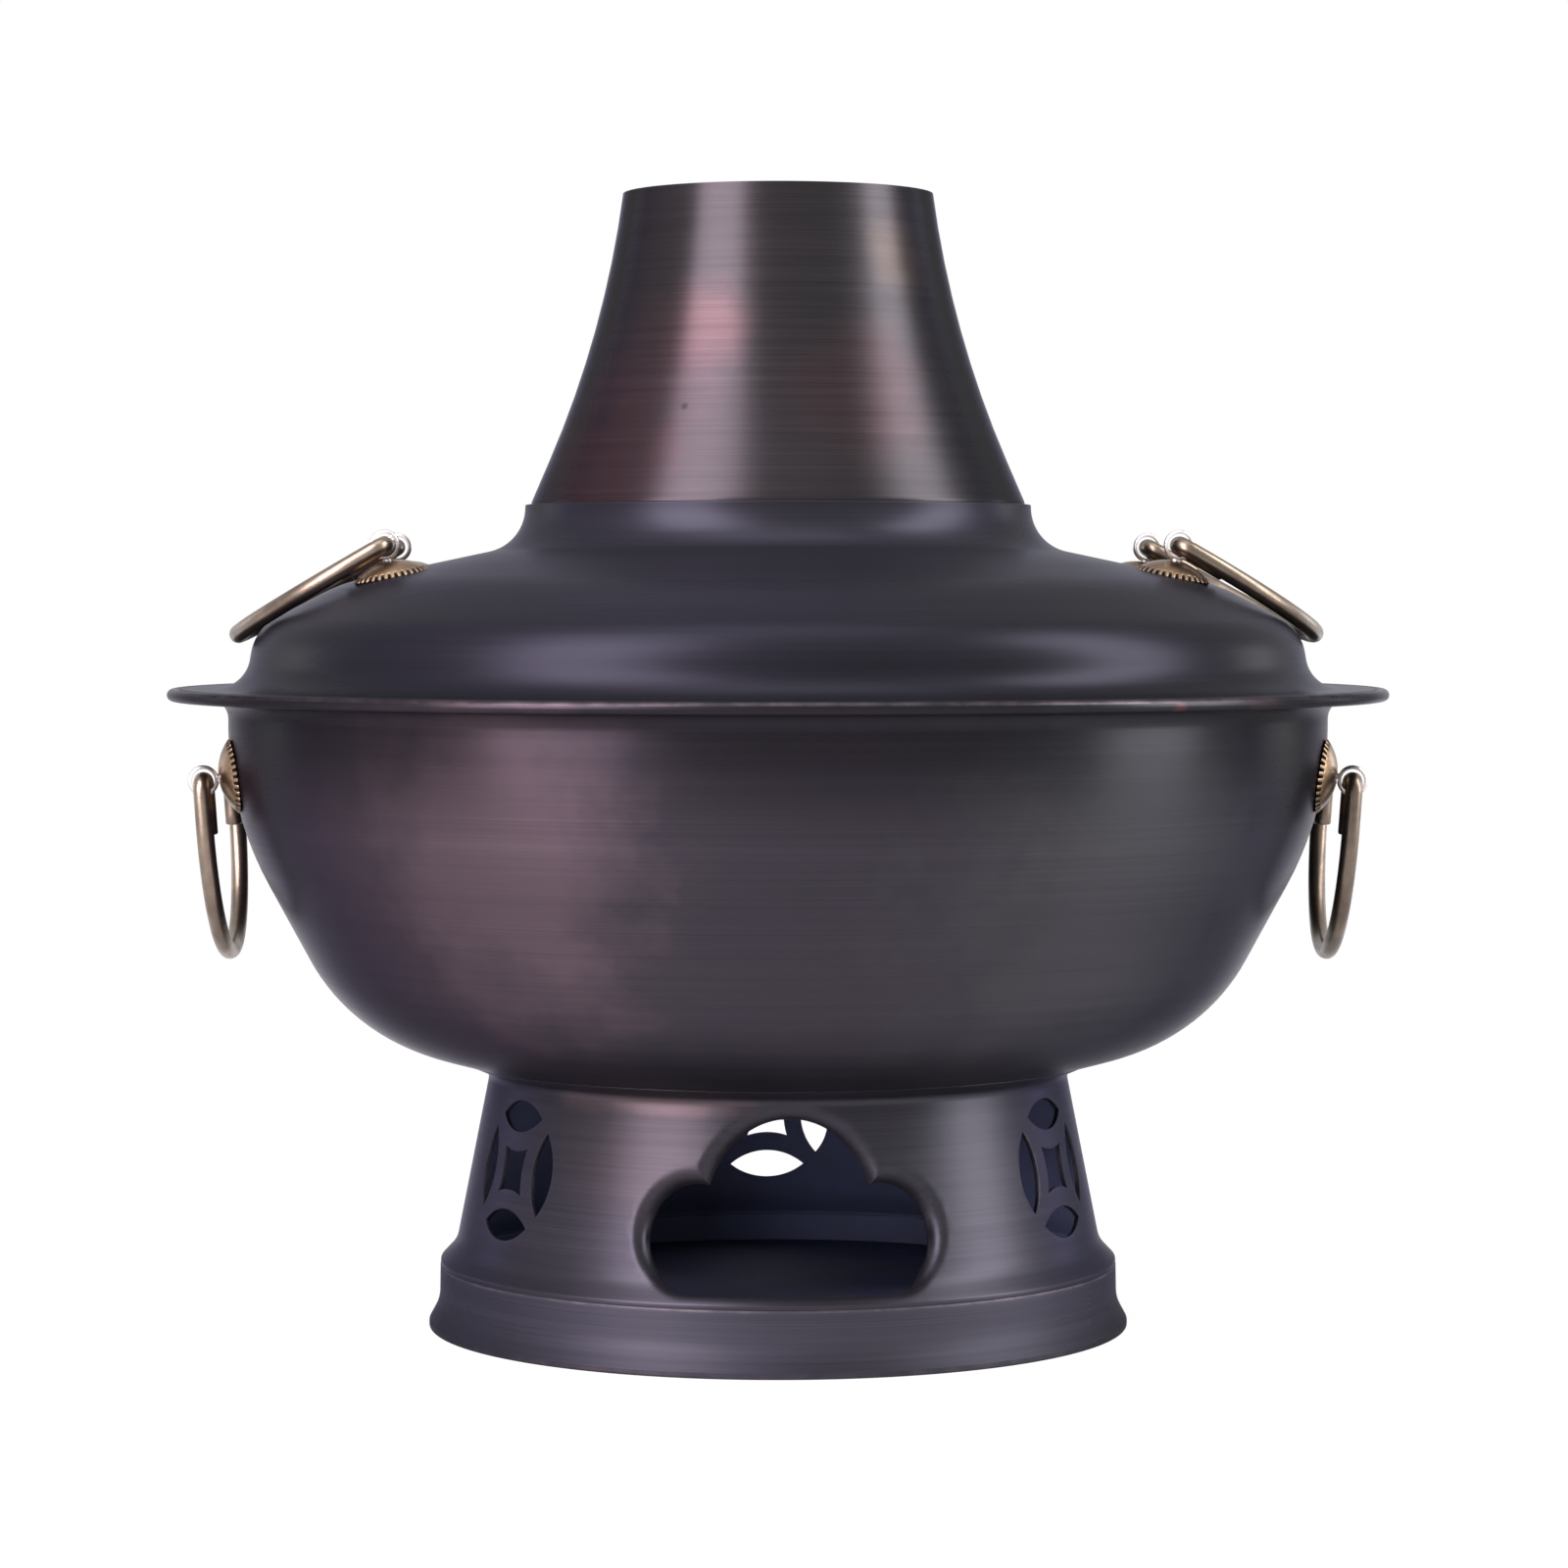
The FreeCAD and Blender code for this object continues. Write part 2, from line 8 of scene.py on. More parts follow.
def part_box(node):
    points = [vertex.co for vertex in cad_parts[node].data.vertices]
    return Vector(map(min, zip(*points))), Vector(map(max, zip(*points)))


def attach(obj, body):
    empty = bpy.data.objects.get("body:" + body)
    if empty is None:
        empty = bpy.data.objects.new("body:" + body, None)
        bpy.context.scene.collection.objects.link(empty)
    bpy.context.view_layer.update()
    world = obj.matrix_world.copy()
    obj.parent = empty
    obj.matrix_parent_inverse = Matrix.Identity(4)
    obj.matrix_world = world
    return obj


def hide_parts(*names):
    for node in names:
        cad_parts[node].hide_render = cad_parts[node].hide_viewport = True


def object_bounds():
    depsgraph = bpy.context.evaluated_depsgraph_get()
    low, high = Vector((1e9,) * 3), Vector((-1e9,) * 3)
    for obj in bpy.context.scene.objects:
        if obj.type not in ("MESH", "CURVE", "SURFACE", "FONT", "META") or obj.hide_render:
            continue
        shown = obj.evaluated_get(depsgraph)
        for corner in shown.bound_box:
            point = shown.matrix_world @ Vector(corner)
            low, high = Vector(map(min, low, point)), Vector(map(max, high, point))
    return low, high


# Copper chimney hot pot with a dark antique patina. Metres, the fire door towards -Y.

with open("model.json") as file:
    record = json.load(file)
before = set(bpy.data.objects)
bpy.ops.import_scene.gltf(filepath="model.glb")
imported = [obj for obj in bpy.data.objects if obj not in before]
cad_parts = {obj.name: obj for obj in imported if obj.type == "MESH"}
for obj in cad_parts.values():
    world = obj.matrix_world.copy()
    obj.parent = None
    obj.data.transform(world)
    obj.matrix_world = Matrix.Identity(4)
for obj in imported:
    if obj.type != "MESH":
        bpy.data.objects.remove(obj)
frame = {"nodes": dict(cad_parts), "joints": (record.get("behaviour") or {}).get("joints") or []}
cadLow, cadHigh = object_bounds()
mm = 0.001
upAxis = Vector((0, 0, 1))
origin = Vector((0, 0, 0))


def nodeRadius(node):
    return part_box(node)[1].x / mm


def roundedLine(corners, turnStep=6.0):
    # (radius, height, bend) corners in mm -> points in metres, each corner rounded to its bend
    points = [Vector(corners[0][:2])]
    for before, corner, after in zip(corners, corners[1:], corners[2:]):
        middle = Vector(corner[:2])
        if corner[2] <= 0:
            points.append(middle)
            continue
        back = (Vector(before[:2]) - middle).normalized()
        ahead = (Vector(after[:2]) - middle).normalized()
        half = back.angle(ahead) / 2
        centre = middle + (back + ahead).normalized() * (corner[2] / math.sin(half))
        first = middle + back * (corner[2] / math.tan(half)) - centre
        turn = math.pi - 2 * half
        if first.cross(back) > 0:
            turn = -turn
        coarse = 3 if corner[2] < 1 else 1      # sub-millimetre bends need few points
        steps = max(3, int(abs(math.degrees(turn)) / (turnStep * coarse) + 1))
        for index in range(steps + 1):
            angle = turn * index / steps
            spoke = Matrix.Rotation(angle, 2) @ first
            points.append(centre + spoke)
    points.append(Vector(corners[-1][:2]))
    return [p * mm for p in points]


def shiftedCorners(corners, wall):
    # the same corners moved by one wall to the left of the way they run
    moved = []
    for index, corner in enumerate(corners):
        here = Vector(corner[:2])
        ways = []
        if index > 0:
            ways.append((here - Vector(corners[index - 1][:2])).normalized())
        if index < len(corners) - 1:
            ways.append((Vector(corners[index + 1][:2]) - here).normalized())
        normals = [Vector((-way.y, way.x)) for way in ways]
        both = sum(normals, Vector((0, 0)))
        offset = both * (len(normals) * wall / both.dot(both))
        bend = 0
        if len(ways) == 2 and corner[2] > 0:
            turnsLeft = ways[0].cross(ways[1]) > 0
            bend = max(corner[2] - wall if turnsLeft else corner[2] + wall, 0)
        moved.append((here.x + offset.x, here.y + offset.y, bend))
    return moved


def divided(points, reach):
    # long straight runs get extra points, so that no face is much longer than reach
    out = [points[0]]
    for start, end in zip(points, points[1:]):
        count = max(1, math.ceil((end - start).length / reach))
        out += [start.lerp(end, (index + 1) / count) for index in range(count)]
    return out


def spinLine(bm, points, steps, closed=False):
    # one row of (radius, height) points spun all the way round the pot's axis
    verts = [bm.verts.new((p.x, 0, p.y)) for p in points]
    edges = [bm.edges.new(pair) for pair in zip(verts, verts[1:])]
    if closed:
        edges.append(bm.edges.new((verts[-1], verts[0])))
    bmesh.ops.spin(bm, geom=verts + edges, cent=origin, axis=upAxis, dvec=origin,
                   angle=2 * math.pi, steps=steps, use_merge=True, use_duplicate=False)
    bmesh.ops.remove_doubles(bm, verts=bm.verts, dist=1e-7)
    bmesh.ops.recalc_face_normals(bm, faces=bm.faces)


def spunSheet(corners, wall, steps=240, reach=4 * mm, turnStep=5.0, lip=0.3):
    # a sheet of one wall along the corners, spun to a shell; its edges are rounded by lip walls
    loop = list(corners) + list(reversed(shiftedCorners(corners, wall)))
    last = len(corners) - 1
    for index in (0, last, last + 1, -1):
        loop[index] = (loop[index][0], loop[index][1], lip * wall)
    middle = (Vector(loop[0][:2]) + Vector(loop[-1][:2])) / 2
    seam = (middle.x, middle.y, 0)
    section = divided(roundedLine([seam] + loop + [seam], turnStep), reach)[:-1]
    bm = bmesh.new()
    spinLine(bm, section, steps, closed=True)
    return bm


def markInside(bm, test):
    # gives the second material to the faces that a test of place and outward share picks
    for face in bm.faces:
        middle = face.calc_center_median()
        radius = max(Vector((middle.x, middle.y)).length, 1e-6)
        outward = (face.normal.x * middle.x + face.normal.y * middle.y) / radius
        if test(radius / mm, middle.z / mm, outward, face.normal.z):
            face.material_index = 1


def freshVerts(made):
    return [g for g in made if isinstance(g, bmesh.types.BMVert)]


def grownLoop(bm, loop):
    # extrudes a loop of edges in place: the new loop and its vertices, still to be moved
    made = bmesh.ops.extrude_edge_only(bm, edges=loop)["geom"]
    ends = freshVerts(made)
    known = set(ends)
    edges = [g for g in made if isinstance(g, bmesh.types.BMEdge) and all(v in known for v in g.verts)]
    return edges, ends


def shadeByAngle(mesh, degrees):
    for polygon in mesh.polygons:
        polygon.use_smooth = True
    mesh.set_sharp_from_angle(angle=math.radians(degrees))


def addPiece(name, bm, material, body, slotName, *nodes, sharp=40):
    mesh = bpy.data.meshes.new(name)
    bm.to_mesh(mesh)
    bm.free()
    piece = bpy.data.objects.new(name, mesh)
    bpy.context.scene.collection.objects.link(piece)
    for one in material if isinstance(material, (list, tuple)) else [material]:
        mesh.materials.append(one)
    shadeByAngle(mesh, sharp)
    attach(piece, body)
    if nodes:
        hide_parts(*nodes)
    return piece


def finished(piece, *modifiers, sharp=40):
    # adds (type, settings) modifiers and keeps their result as the piece's own mesh
    for kind, settings in modifiers:
        modifier = piece.modifiers.new(kind.title(), kind)
        for key, value in settings.items():
            setattr(modifier, key, value)
    graph = bpy.context.evaluated_depsgraph_get()
    mesh = bpy.data.meshes.new_from_object(piece.evaluated_get(graph))
    piece.modifiers.clear()
    old = piece.data
    piece.data = mesh
    mesh.name = piece.name
    bpy.data.meshes.remove(old)
    shadeByAngle(mesh, sharp)
    return piece


def bevelled(width, segments):
    # the settings that round sharp edges, with the width in mm
    return "BEVEL", {"width": width * mm, "segments": segments, "limit_method": "ANGLE",
                     "angle_limit": math.radians(50)}


class Recipe:
    # a few short words for joining shader nodes

    def __init__(self, name):
        self.material = bpy.data.materials.new(name)
        self.material.use_nodes = True
        self.tree = self.material.node_tree
        self.tree.nodes.clear()
        self.out = self.node("ShaderNodeOutputMaterial")

    def node(self, kind, **settings):
        made = self.tree.nodes.new(kind)
        for key, value in settings.items():
            setattr(made, key, value)
        return made

    def feed(self, socket, value):
        if isinstance(value, bpy.types.NodeSocket):
            self.tree.links.new(value, socket)
        else:
            socket.default_value = value

    def fill(self, made, values):
        # feeds a node's sockets by name or number and gives its outputs
        for key, value in values.items():
            self.feed(made.inputs[key], value)
        return made.outputs

    def maths(self, operation, first, second=0.0):
        return self.fill(self.node("ShaderNodeMath", operation=operation), {0: first, 1: second})[0]

    def times(self, first, second):
        return self.maths("MULTIPLY", first, second)

    def ramp(self, value, low, high, start=0.0, end=1.0):
        values = {0: value, 1: low, 2: high, 3: start, 4: end}
        return self.fill(self.node("ShaderNodeMapRange", clamp=True), values)[0]

    def mix(self, share, first, second):
        # sockets 6 and 7 hold the two colours, output 2 the mixed one
        made = self.node("ShaderNodeMix", data_type="RGBA")
        return self.fill(made, {0: share, 6: first, 7: second})[2]

    def scaled(self, colour, amount):
        made = self.node("ShaderNodeVectorMath", operation="SCALE")
        return self.fill(made, {0: colour, "Scale": amount})[0]

    def length(self, vector):
        made = self.node("ShaderNodeVectorMath", operation="LENGTH")
        return self.fill(made, {0: vector})["Value"]

    def place(self):
        return self.node("ShaderNodeTexCoord").outputs["Object"]

    def placeParts(self):
        return self.fill(self.node("ShaderNodeSeparateXYZ"), {0: self.place()})

    def noise(self, vector, scale, detail=3.0, rough=0.55, w=None, distortion=0.0):
        made = self.node("ShaderNodeTexNoise", noise_dimensions="3D" if w is None else "4D")
        values = {"Vector": vector, "Scale": scale, "Detail": detail, "Roughness": rough,
                  "Distortion": distortion}
        if w is not None:
            values["W"] = w
        return self.fill(made, values)["Fac"]

    def ringSpace(self, fine, around):
        # a place whose pattern runs in rings round the pot: fine across them, long along them
        x, y, z = self.placeParts()
        radius = self.maths("SQRT", self.maths("ADD", self.times(x, x), self.times(y, y)))
        safe = self.maths("MAXIMUM", radius, 1e-4)
        parts = [self.times(self.maths("DIVIDE", value, safe), around) for value in (x, y)]
        parts.append(self.times(z, fine))
        joined = self.fill(self.node("ShaderNodeCombineXYZ"), dict(enumerate(parts)))
        return joined[0], self.times(radius, fine)

    def bump(self, height, strength, distance):
        made = self.node("ShaderNodeBump")
        return self.fill(made, {"Strength": strength, "Distance": distance, "Height": height})[0]

    def metal(self, colour, roughness, normal, metallic=1.0, brushed=0.0, edge=(1, 1, 1), film=0.5):
        made = self.node("ShaderNodeBsdfPrincipled")
        self.fill(made, {"Base Color": colour, "Roughness": roughness, "Normal": normal,
                         "Metallic": metallic, "Specular IOR Level": film, "Specular Tint": (*edge, 1)})
        if brushed:     # turning marks run round the pot, so highlights are drawn out up and down
            tangent = self.node("ShaderNodeTangent", direction_type="RADIAL", axis="Z").outputs[0]
            self.fill(made, {"Anisotropic": brushed, "Anisotropic Rotation": 0.25, "Tangent": tangent})
        self.feed(self.out.inputs["Surface"], made.outputs[0])
        return self.material

    def spot(self, centre, reach, stretch, soft=0.6):
        # 1 at a place on the pot, falling to 0 at reach, with an uneven edge
        mapping = self.node("ShaderNodeMapping", vector_type="POINT")
        shift = [-c * s for c, s in zip(centre, stretch)]
        away = self.fill(mapping, {"Vector": self.place(), "Scale": stretch, "Location": shift})[0]
        uneven = self.maths("SUBTRACT", self.noise(self.place(), 60.0, 4.0), 0.5)
        ragged = self.maths("ADD", self.length(away), self.times(uneven, reach))
        return self.ramp(ragged, reach * (1 - soft), reach, 1.0, 0.0)

    def heightBand(self, low, high, fade):
        # 1 between two heights, fading out above and below
        height = self.placeParts()[2]
        above = self.ramp(height, low - fade, low)
        return self.times(above, self.ramp(height, high, high + fade, 1.0, 0.0))


def spunCopper(name, **changes):
    # dark patina on spun copper: turning marks, soft clouds of colour, warmer and paler towards the left,
    # partly as patina and partly as painted light from that side
    look = {**patina, **changes}
    recipe = Recipe(name)
    lines, across = recipe.ringSpace(look["lineDensity"], look["lineLength"])
    fine = recipe.noise(lines, 1.0, 3.0, 0.6, w=across)
    streaks, wide = recipe.ringSpace(look["lineDensity"] * 0.25, look["lineLength"] * 1.3)
    broad = recipe.noise(streaks, 1.0, 2.0, 0.5, w=wide)
    cloud = recipe.noise(recipe.place(), look["cloudScale"], 3.0, 0.55, distortion=0.4)
    # partly painted light: the left side, where the key lamp is, is made warmer and paler; the clouds add
    # patina colour
    sideways = recipe.ramp(recipe.placeParts()[0], -look["warmReach"], look["warmReach"], 1.0, 0.0)
    warmth = recipe.maths("ADD", recipe.times(sideways, look["warmShare"]),
                          recipe.ramp(cloud, 0.38, 0.66, -0.25, 0.25))
    colour = recipe.mix(recipe.ramp(warmth, 0.0, 1.0), look["cool"], look["warm"])
    # real stains, and patches that are painted highlights
    for one in look["stains"]:
        share = recipe.times(recipe.spot(one["at"], one["reach"], one["stretch"]), one["share"])
        colour = recipe.mix(share, colour, one["colour"])
    # bands of bare copper, some of them painted highlights
    for low, high, fade, wornShare in look["worn"]:
        rubbed = recipe.ramp(recipe.noise(recipe.place(), 130.0, 4.0, 0.65), 0.40, 0.66, 0.25, 1.0)
        share = recipe.times(recipe.heightBand(low, high, fade), rubbed)
        colour = recipe.mix(recipe.times(share, wornShare), colour, look["bare"])
    lineTone = recipe.ramp(fine, 0.28, 0.74, 1 - look["lineShare"], 1 + look["lineShare"])
    broadTone = recipe.ramp(broad, 0.30, 0.70, 1 - look["streakShare"], 1 + look["streakShare"])
    depth = recipe.times(lineTone, broadTone)
    # painted light and shade by height
    for low, high, below, above in look["tones"]:
        depth = recipe.times(depth, recipe.ramp(recipe.placeParts()[2], low, high, below, above))
    rough = look["rough"]
    roughness = recipe.maths("ADD", recipe.ramp(fine, 0.25, 0.75, rough - 0.03, rough + 0.03),
                             recipe.ramp(cloud, 0.3, 0.7, -0.03, 0.03))
    normal = recipe.bump(fine, look["lineDepth"], 0.1 * mm)
    return recipe.metal(recipe.scaled(colour, depth), roughness, normal, look["metallic"], look["brushed"],
                        look["edge"], look["film"])


patina = {
    "cool": (0.025, 0.0245, 0.030, 1), "warm": (0.033, 0.027, 0.036, 1),
    "warmReach": 0.12, "warmShare": 0.9,        # warm at the left, cool from warmReach to the right: partly patina colour, partly painted warm light from the left
    "bare": (0.17, 0.105, 0.105, 1),            # where the patina is rubbed off; on some bands it is a painted highlight
    "edge": (0.18, 0.18, 0.30), "film": 0.5,    # tint and strength of the grazing reflection
    "metallic": 0.85, "rough": 0.37, "brushed": 0.72,
    "lineDensity": 2300.0, "lineLength": 0.7, "lineShare": 0.16, "lineDepth": 0.18, "streakShare": 0.08,
    "cloudScale": 9.0,
    "stains": (),       # places with a colour of their own: real stains, and some painted highlights
    "worn": (),         # (lowest, highest, fade, share) heights that are rubbed bare, and heights that carry a painted highlight
    "tones": (),        # (from, to, factor below, factor above): painted light, paler or darker from height to height
}
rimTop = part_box("bowl_shell")[1].z
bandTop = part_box("foot_ring")[1].z


# a patch of its own colour, used for real stains and for painted highlights
def stain(x, y, z, reach, share, colour, stretch=(1, 1, 1)):
    return {"at": (x, y, z), "reach": reach, "share": share, "colour": (*colour, 1), "stretch": stretch}


bowlCopper = spunCopper(
    "bowlCopper", cool=(0.0232, 0.0226, 0.0272, 1), bare=(0.15, 0.122, 0.132, 1),
    edge=(0.33, 0.32, 0.37), film=0.4, rough=0.36, lineShare=0.11, lineDepth=0.13, streakShare=0.05,
    # the rim band is worn copper and also a painted highlight along the bead's top; the tones darken the
    # neck as painted shade and make the belly a little paler
    worn=[(rimTop - 0.9 * mm, rimTop, 0.3 * mm, 0.5)], tones=[(0.146, 0.168, 1.03, 0.56)],
    # painted highlight: these two patches brighten the key lamp's reflection on the left; the wider one is
    # also pinkish patina
    stains=[stain(-0.085, -0.125, 0.135, 0.075, 0.3, (0.050, 0.033, 0.041)),
            stain(-0.075, -0.138, 0.138, 0.048, 0.55, (0.080, 0.056, 0.067), stretch=(1, 1, 0.6)),
            # painted highlight: a paler grey patch where the right lamp's reflection falls
            stain(0.098, -0.112, 0.130, 0.080, 0.6, (0.040, 0.0402, 0.0432), stretch=(1, 1, 0.6)),
            stain(-0.148, -0.05, 0.165, 0.022, 0.5, (0.045, 0.021, 0.027)),
            stain(0.104, -0.140, 0.181, 0.003, 0.5, (0.12, 0.055, 0.06)),
            stain(0.128, -0.119, 0.181, 0.008, 0.2, (0.11, 0.060, 0.065))])
lidCopper = spunCopper(
    "lidCopper", cool=(0.0145, 0.0142, 0.0172, 1), warm=(0.0160, 0.0152, 0.0210, 1),
    edge=(0.18, 0.18, 0.34), film=0.2, metallic=0.66, rough=0.38, brushed=0.5,
    # painted light: the slope above the shoulder is made paler and the hip below darker
    lineShare=0.08, lineDepth=0.10, streakShare=0.05, tones=[(0.203, 0.214, 0.85, 1.25)])
chimneyCopper = spunCopper(
    "chimneyCopper", cool=(0.0238, 0.0222, 0.0228, 1), warm=(0.029, 0.024, 0.0275, 1),
    warmReach=0.05, rough=0.35,
    stains=[stain(-0.019, -0.048, 0.286, 0.016, 0.42, (0.066, 0.036, 0.038)),
            stain(-0.050, -0.040, 0.244, 0.034, 0.5, (0.050, 0.024, 0.028)),
            stain(-0.034, -0.040, 0.272, 0.026, 0.4, (0.046, 0.027, 0.031)),
            stain(0.022, -0.052, 0.266, 0.026, 0.4, (0.042, 0.025, 0.027)),
            stain(0.034, -0.034, 0.305, 0.014, 0.4, (0.050, 0.037, 0.030)),
            stain(-0.0255, -0.054, 0.2626, 0.0016, 0.9, (0.008, 0.008, 0.009))])
standCopper = spunCopper(
    "standCopper", cool=(0.029, 0.0285, 0.033, 1), warm=(0.033, 0.030, 0.040, 1),
    edge=(0.28, 0.27, 0.38), rough=0.43, brushed=0.6,
    # painted highlight: a paler pinkish patch where the key lamp's reflection falls left of the door
    stains=[stain(-0.038, -0.080, 0.062, 0.030, 0.35, (0.050, 0.037, 0.039)),
            stain(-0.036, -0.076, 0.0715, 0.036, 0.42, (0.105, 0.074, 0.078), stretch=(1, 1, 9))])
footCopper = spunCopper(
    "footCopper", cool=(0.0315, 0.031, 0.0362, 1), warm=(0.038, 0.0355, 0.0495, 1),
    # painted shade: the lowest few mm of the band are darkened
    bare=(0.13, 0.105, 0.115, 1), rough=0.53, brushed=0.3, tones=[(0.004, 0.010, 0.72, 1.0)],
    # the lowest band is worn copper; the band at the top edge is a painted highlight
    worn=[(-0.001, 0.0012, 0.0008, 0.25), (bandTop - 0.7 * mm, bandTop, 0.3 * mm, 0.35)])
print("patinas ready")


def tinnedInside():
    # the cooking side: dull tin with faint turning marks
    recipe = Recipe("tinnedInside")
    lines, across = recipe.ringSpace(1500.0, 2.0)
    fine = recipe.noise(lines, 1.0, 4.0, 0.6, w=across)
    cloud = recipe.noise(recipe.place(), 14.0, 4.0, 0.6)
    colour = recipe.mix(recipe.ramp(cloud, 0.35, 0.7), (0.30, 0.29, 0.28, 1), (0.22, 0.21, 0.21, 1))
    colour = recipe.mix(recipe.ramp(fine, 0.3, 0.7, 0.0, 0.3), colour, (0.42, 0.41, 0.40, 1))
    roughness = recipe.ramp(fine, 0.3, 0.7, 0.42, 0.52)
    return recipe.metal(colour, roughness, recipe.bump(fine, 0.3, 0.12 * mm), 0.9, 0.5)


def sootAndPaintedFillCopper(name, dark, pale, veil, rough, edge):
    # the fire's side of the sheet: dull and heat-darkened, with a dusting of soot; with pale colours it
    # serves as painted light inside the stand
    recipe = Recipe(name)
    drift = recipe.noise(recipe.place(), 28.0, 5.0, 0.65, distortion=0.5)
    bands, across = recipe.ringSpace(500.0, 1.0)
    broad = recipe.noise(bands, 1.0, 3.0, 0.6, w=across)
    colour = recipe.mix(recipe.ramp(drift, 0.35, 0.7), dark, pale)
    colour = recipe.mix(recipe.ramp(broad, 0.4, 0.8, 0.0, 0.4), colour, veil)
    roughness = recipe.ramp(drift, 0.3, 0.7, rough, rough + 0.17)
    return recipe.metal(colour, roughness, recipe.bump(drift, 0.3, 0.3 * mm), 0.12, edge=edge)


def ashDust():
    # the ash floor: dark sheet under grey dust, its blue tint painted light
    recipe = Recipe("ashDust")
    drift = recipe.noise(recipe.place(), 22.0, 5.0, 0.6, distortion=0.8)
    grain = recipe.noise(recipe.place(), 1400.0, 3.0, 0.7)
    # painted light: the blue of these colours stands in for the dim bluish light inside the stand
    colour = recipe.mix(recipe.ramp(drift, 0.40, 0.65), (0.034, 0.040, 0.092, 1), (0.062, 0.061, 0.092, 1))
    colour = recipe.mix(recipe.ramp(grain, 0.5, 0.75, 0.0, 0.4), colour, (0.090, 0.088, 0.104, 1))
    roughness = recipe.ramp(drift, 0.3, 0.7, 0.6, 0.8)
    return recipe.metal(colour, roughness, recipe.bump(grain, 0.3, 0.2 * mm), 0.2, edge=(0.4, 0.4, 0.5))


def castIron():
    # the grate: black casting with a little rust
    recipe = Recipe("castIron")
    grain = recipe.noise(recipe.place(), 900.0, 4.0, 0.7)
    rust = recipe.ramp(recipe.noise(recipe.place(), 60.0, 4.0, 0.6), 0.5, 0.8, 0.0, 0.6)
    colour = recipe.mix(rust, (0.030, 0.029, 0.030, 1), (0.075, 0.040, 0.026, 1))
    roughness = recipe.ramp(grain, 0.3, 0.7, 0.55, 0.8)
    return recipe.metal(colour, roughness, recipe.bump(grain, 0.5, 0.3 * mm), 0.6)


def agedBrass(name, bright, brown, share, rough, rightShade=0.72):
    # antique brass: rubbed bright, brown where fingers and polish don't reach, and darker on the right as
    # painted shade
    recipe = Recipe(name)
    cloud = recipe.noise(recipe.place(), 70.0, 4.0, 0.6, distortion=0.3)
    speck = recipe.noise(recipe.place(), 900.0, 3.0, 0.6)
    colour = recipe.mix(recipe.ramp(cloud, 0.35, 0.68, 0.0, share), bright, brown)
    colour = recipe.mix(recipe.ramp(speck, 0.60, 0.76, 0.0, 0.3), colour, (0.045, 0.030, 0.018, 1))
    # painted shade: the brass is darkened towards the right, away from the key lamp
    colour = recipe.scaled(colour, recipe.ramp(recipe.placeParts()[0], -0.12, 0.12, 1.0, rightShade))
    roughness = recipe.ramp(cloud, 0.3, 0.7, rough, rough + 0.10)
    return recipe.metal(colour, roughness, recipe.bump(speck, 0.05, 0.1 * mm))


tin = tinnedInside()
paintedFillInside = sootAndPaintedFillCopper(     # painted light: much paler and bluer than soot, standing in for the dim bluish light inside the stand and foot
    "paintedFillInside", dark=(0.125, 0.155, 0.290, 1), pale=(0.135, 0.140, 0.235, 1),
    veil=(0.15, 0.150, 0.200, 1), rough=0.45, edge=(0.4, 0.4, 0.5))
flueInside = sootAndPaintedFillCopper(
    "flueInside", dark=(0.040, 0.037, 0.040, 1), pale=(0.056, 0.052, 0.056, 1),
    veil=(0.072, 0.066, 0.068, 1), rough=0.55, edge=(0.3, 0.3, 0.32))
ash = ashDust()
iron = castIron()
wireBrass = agedBrass("wireBrass", (0.215, 0.172, 0.132, 1), (0.085, 0.064, 0.053, 1), 0.85, 0.30)
rosetteBrass = agedBrass("rosetteBrass", (0.225, 0.150, 0.092, 1), (0.100, 0.062, 0.041, 1), 0.8, 0.33)
toothBrass = agedBrass("toothBrass", (0.22, 0.152, 0.097, 1), (0.12, 0.078, 0.052, 1), 0.6, 0.34)
# painted shade: near-black brass for the shaded gaps between the rosette's teeth
gapShadeBrass = agedBrass("gapShadeBrass", (0.020, 0.015, 0.012, 1), (0.012, 0.009, 0.008, 1), 0.8, 0.6)
eyeBrass = agedBrass("eyeBrass", (0.54, 0.50, 0.49, 1), (0.36, 0.32, 0.30, 1), 0.5, 0.34, rightShade=1.0)
print("materials ready")


# The pieces' sizes are in mm, and mm turns them into metres.
walls = {"bowl": 1.8, "lid": 1.2, "flue": 1.5, "chimney": 1.2, "stand": 1.2, "foot": 1.8, "floor": 1.0}
fits = {"solder": 0.1, "collar": 0.6, "brim": 0.5, "fire": 0.6}     # gaps between neighbours
turns = {"bowl": 288, "lid": 288, "flue": 192, "chimney": 240, "foot": 240, "floor": 144}   # steps all round
levels = {
    "seat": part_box("lid_shell")[0].z / mm,       # flange's top, where the lid's brim lies
    "lidTop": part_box("lid_shell")[1].z / mm,
    "footTop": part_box("foot_ring")[1].z / mm,
    "fireboxBottom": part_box("firebox")[0].z / mm,
    "chimneyFoot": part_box("chimney")[0].z / mm,
    "chimneyTop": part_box("chimney")[1].z / mm,
}
radii = {
    "rim": nodeRadius("bowl_shell"),
    "firebox": nodeRadius("firebox"),
    "chimney": nodeRadius("chimney"),
    "foot": nodeRadius("foot_ring"),
}

bowlShape = {
    "rimWidth": 17.3, "beadSize": 3.4, "beadSteps": 26, "neckHeight": 33.8, "neckBend": 5.5,
    "sideIn": 34.1, "sideRise": 63.3, "sideBend": 95.0, "kneeBend": 55.0, "turnStep": 3.0,
    "floorSlope": 0.275, "standRoom": 3.3,      # slope of the floor, and room beside the firebox
}


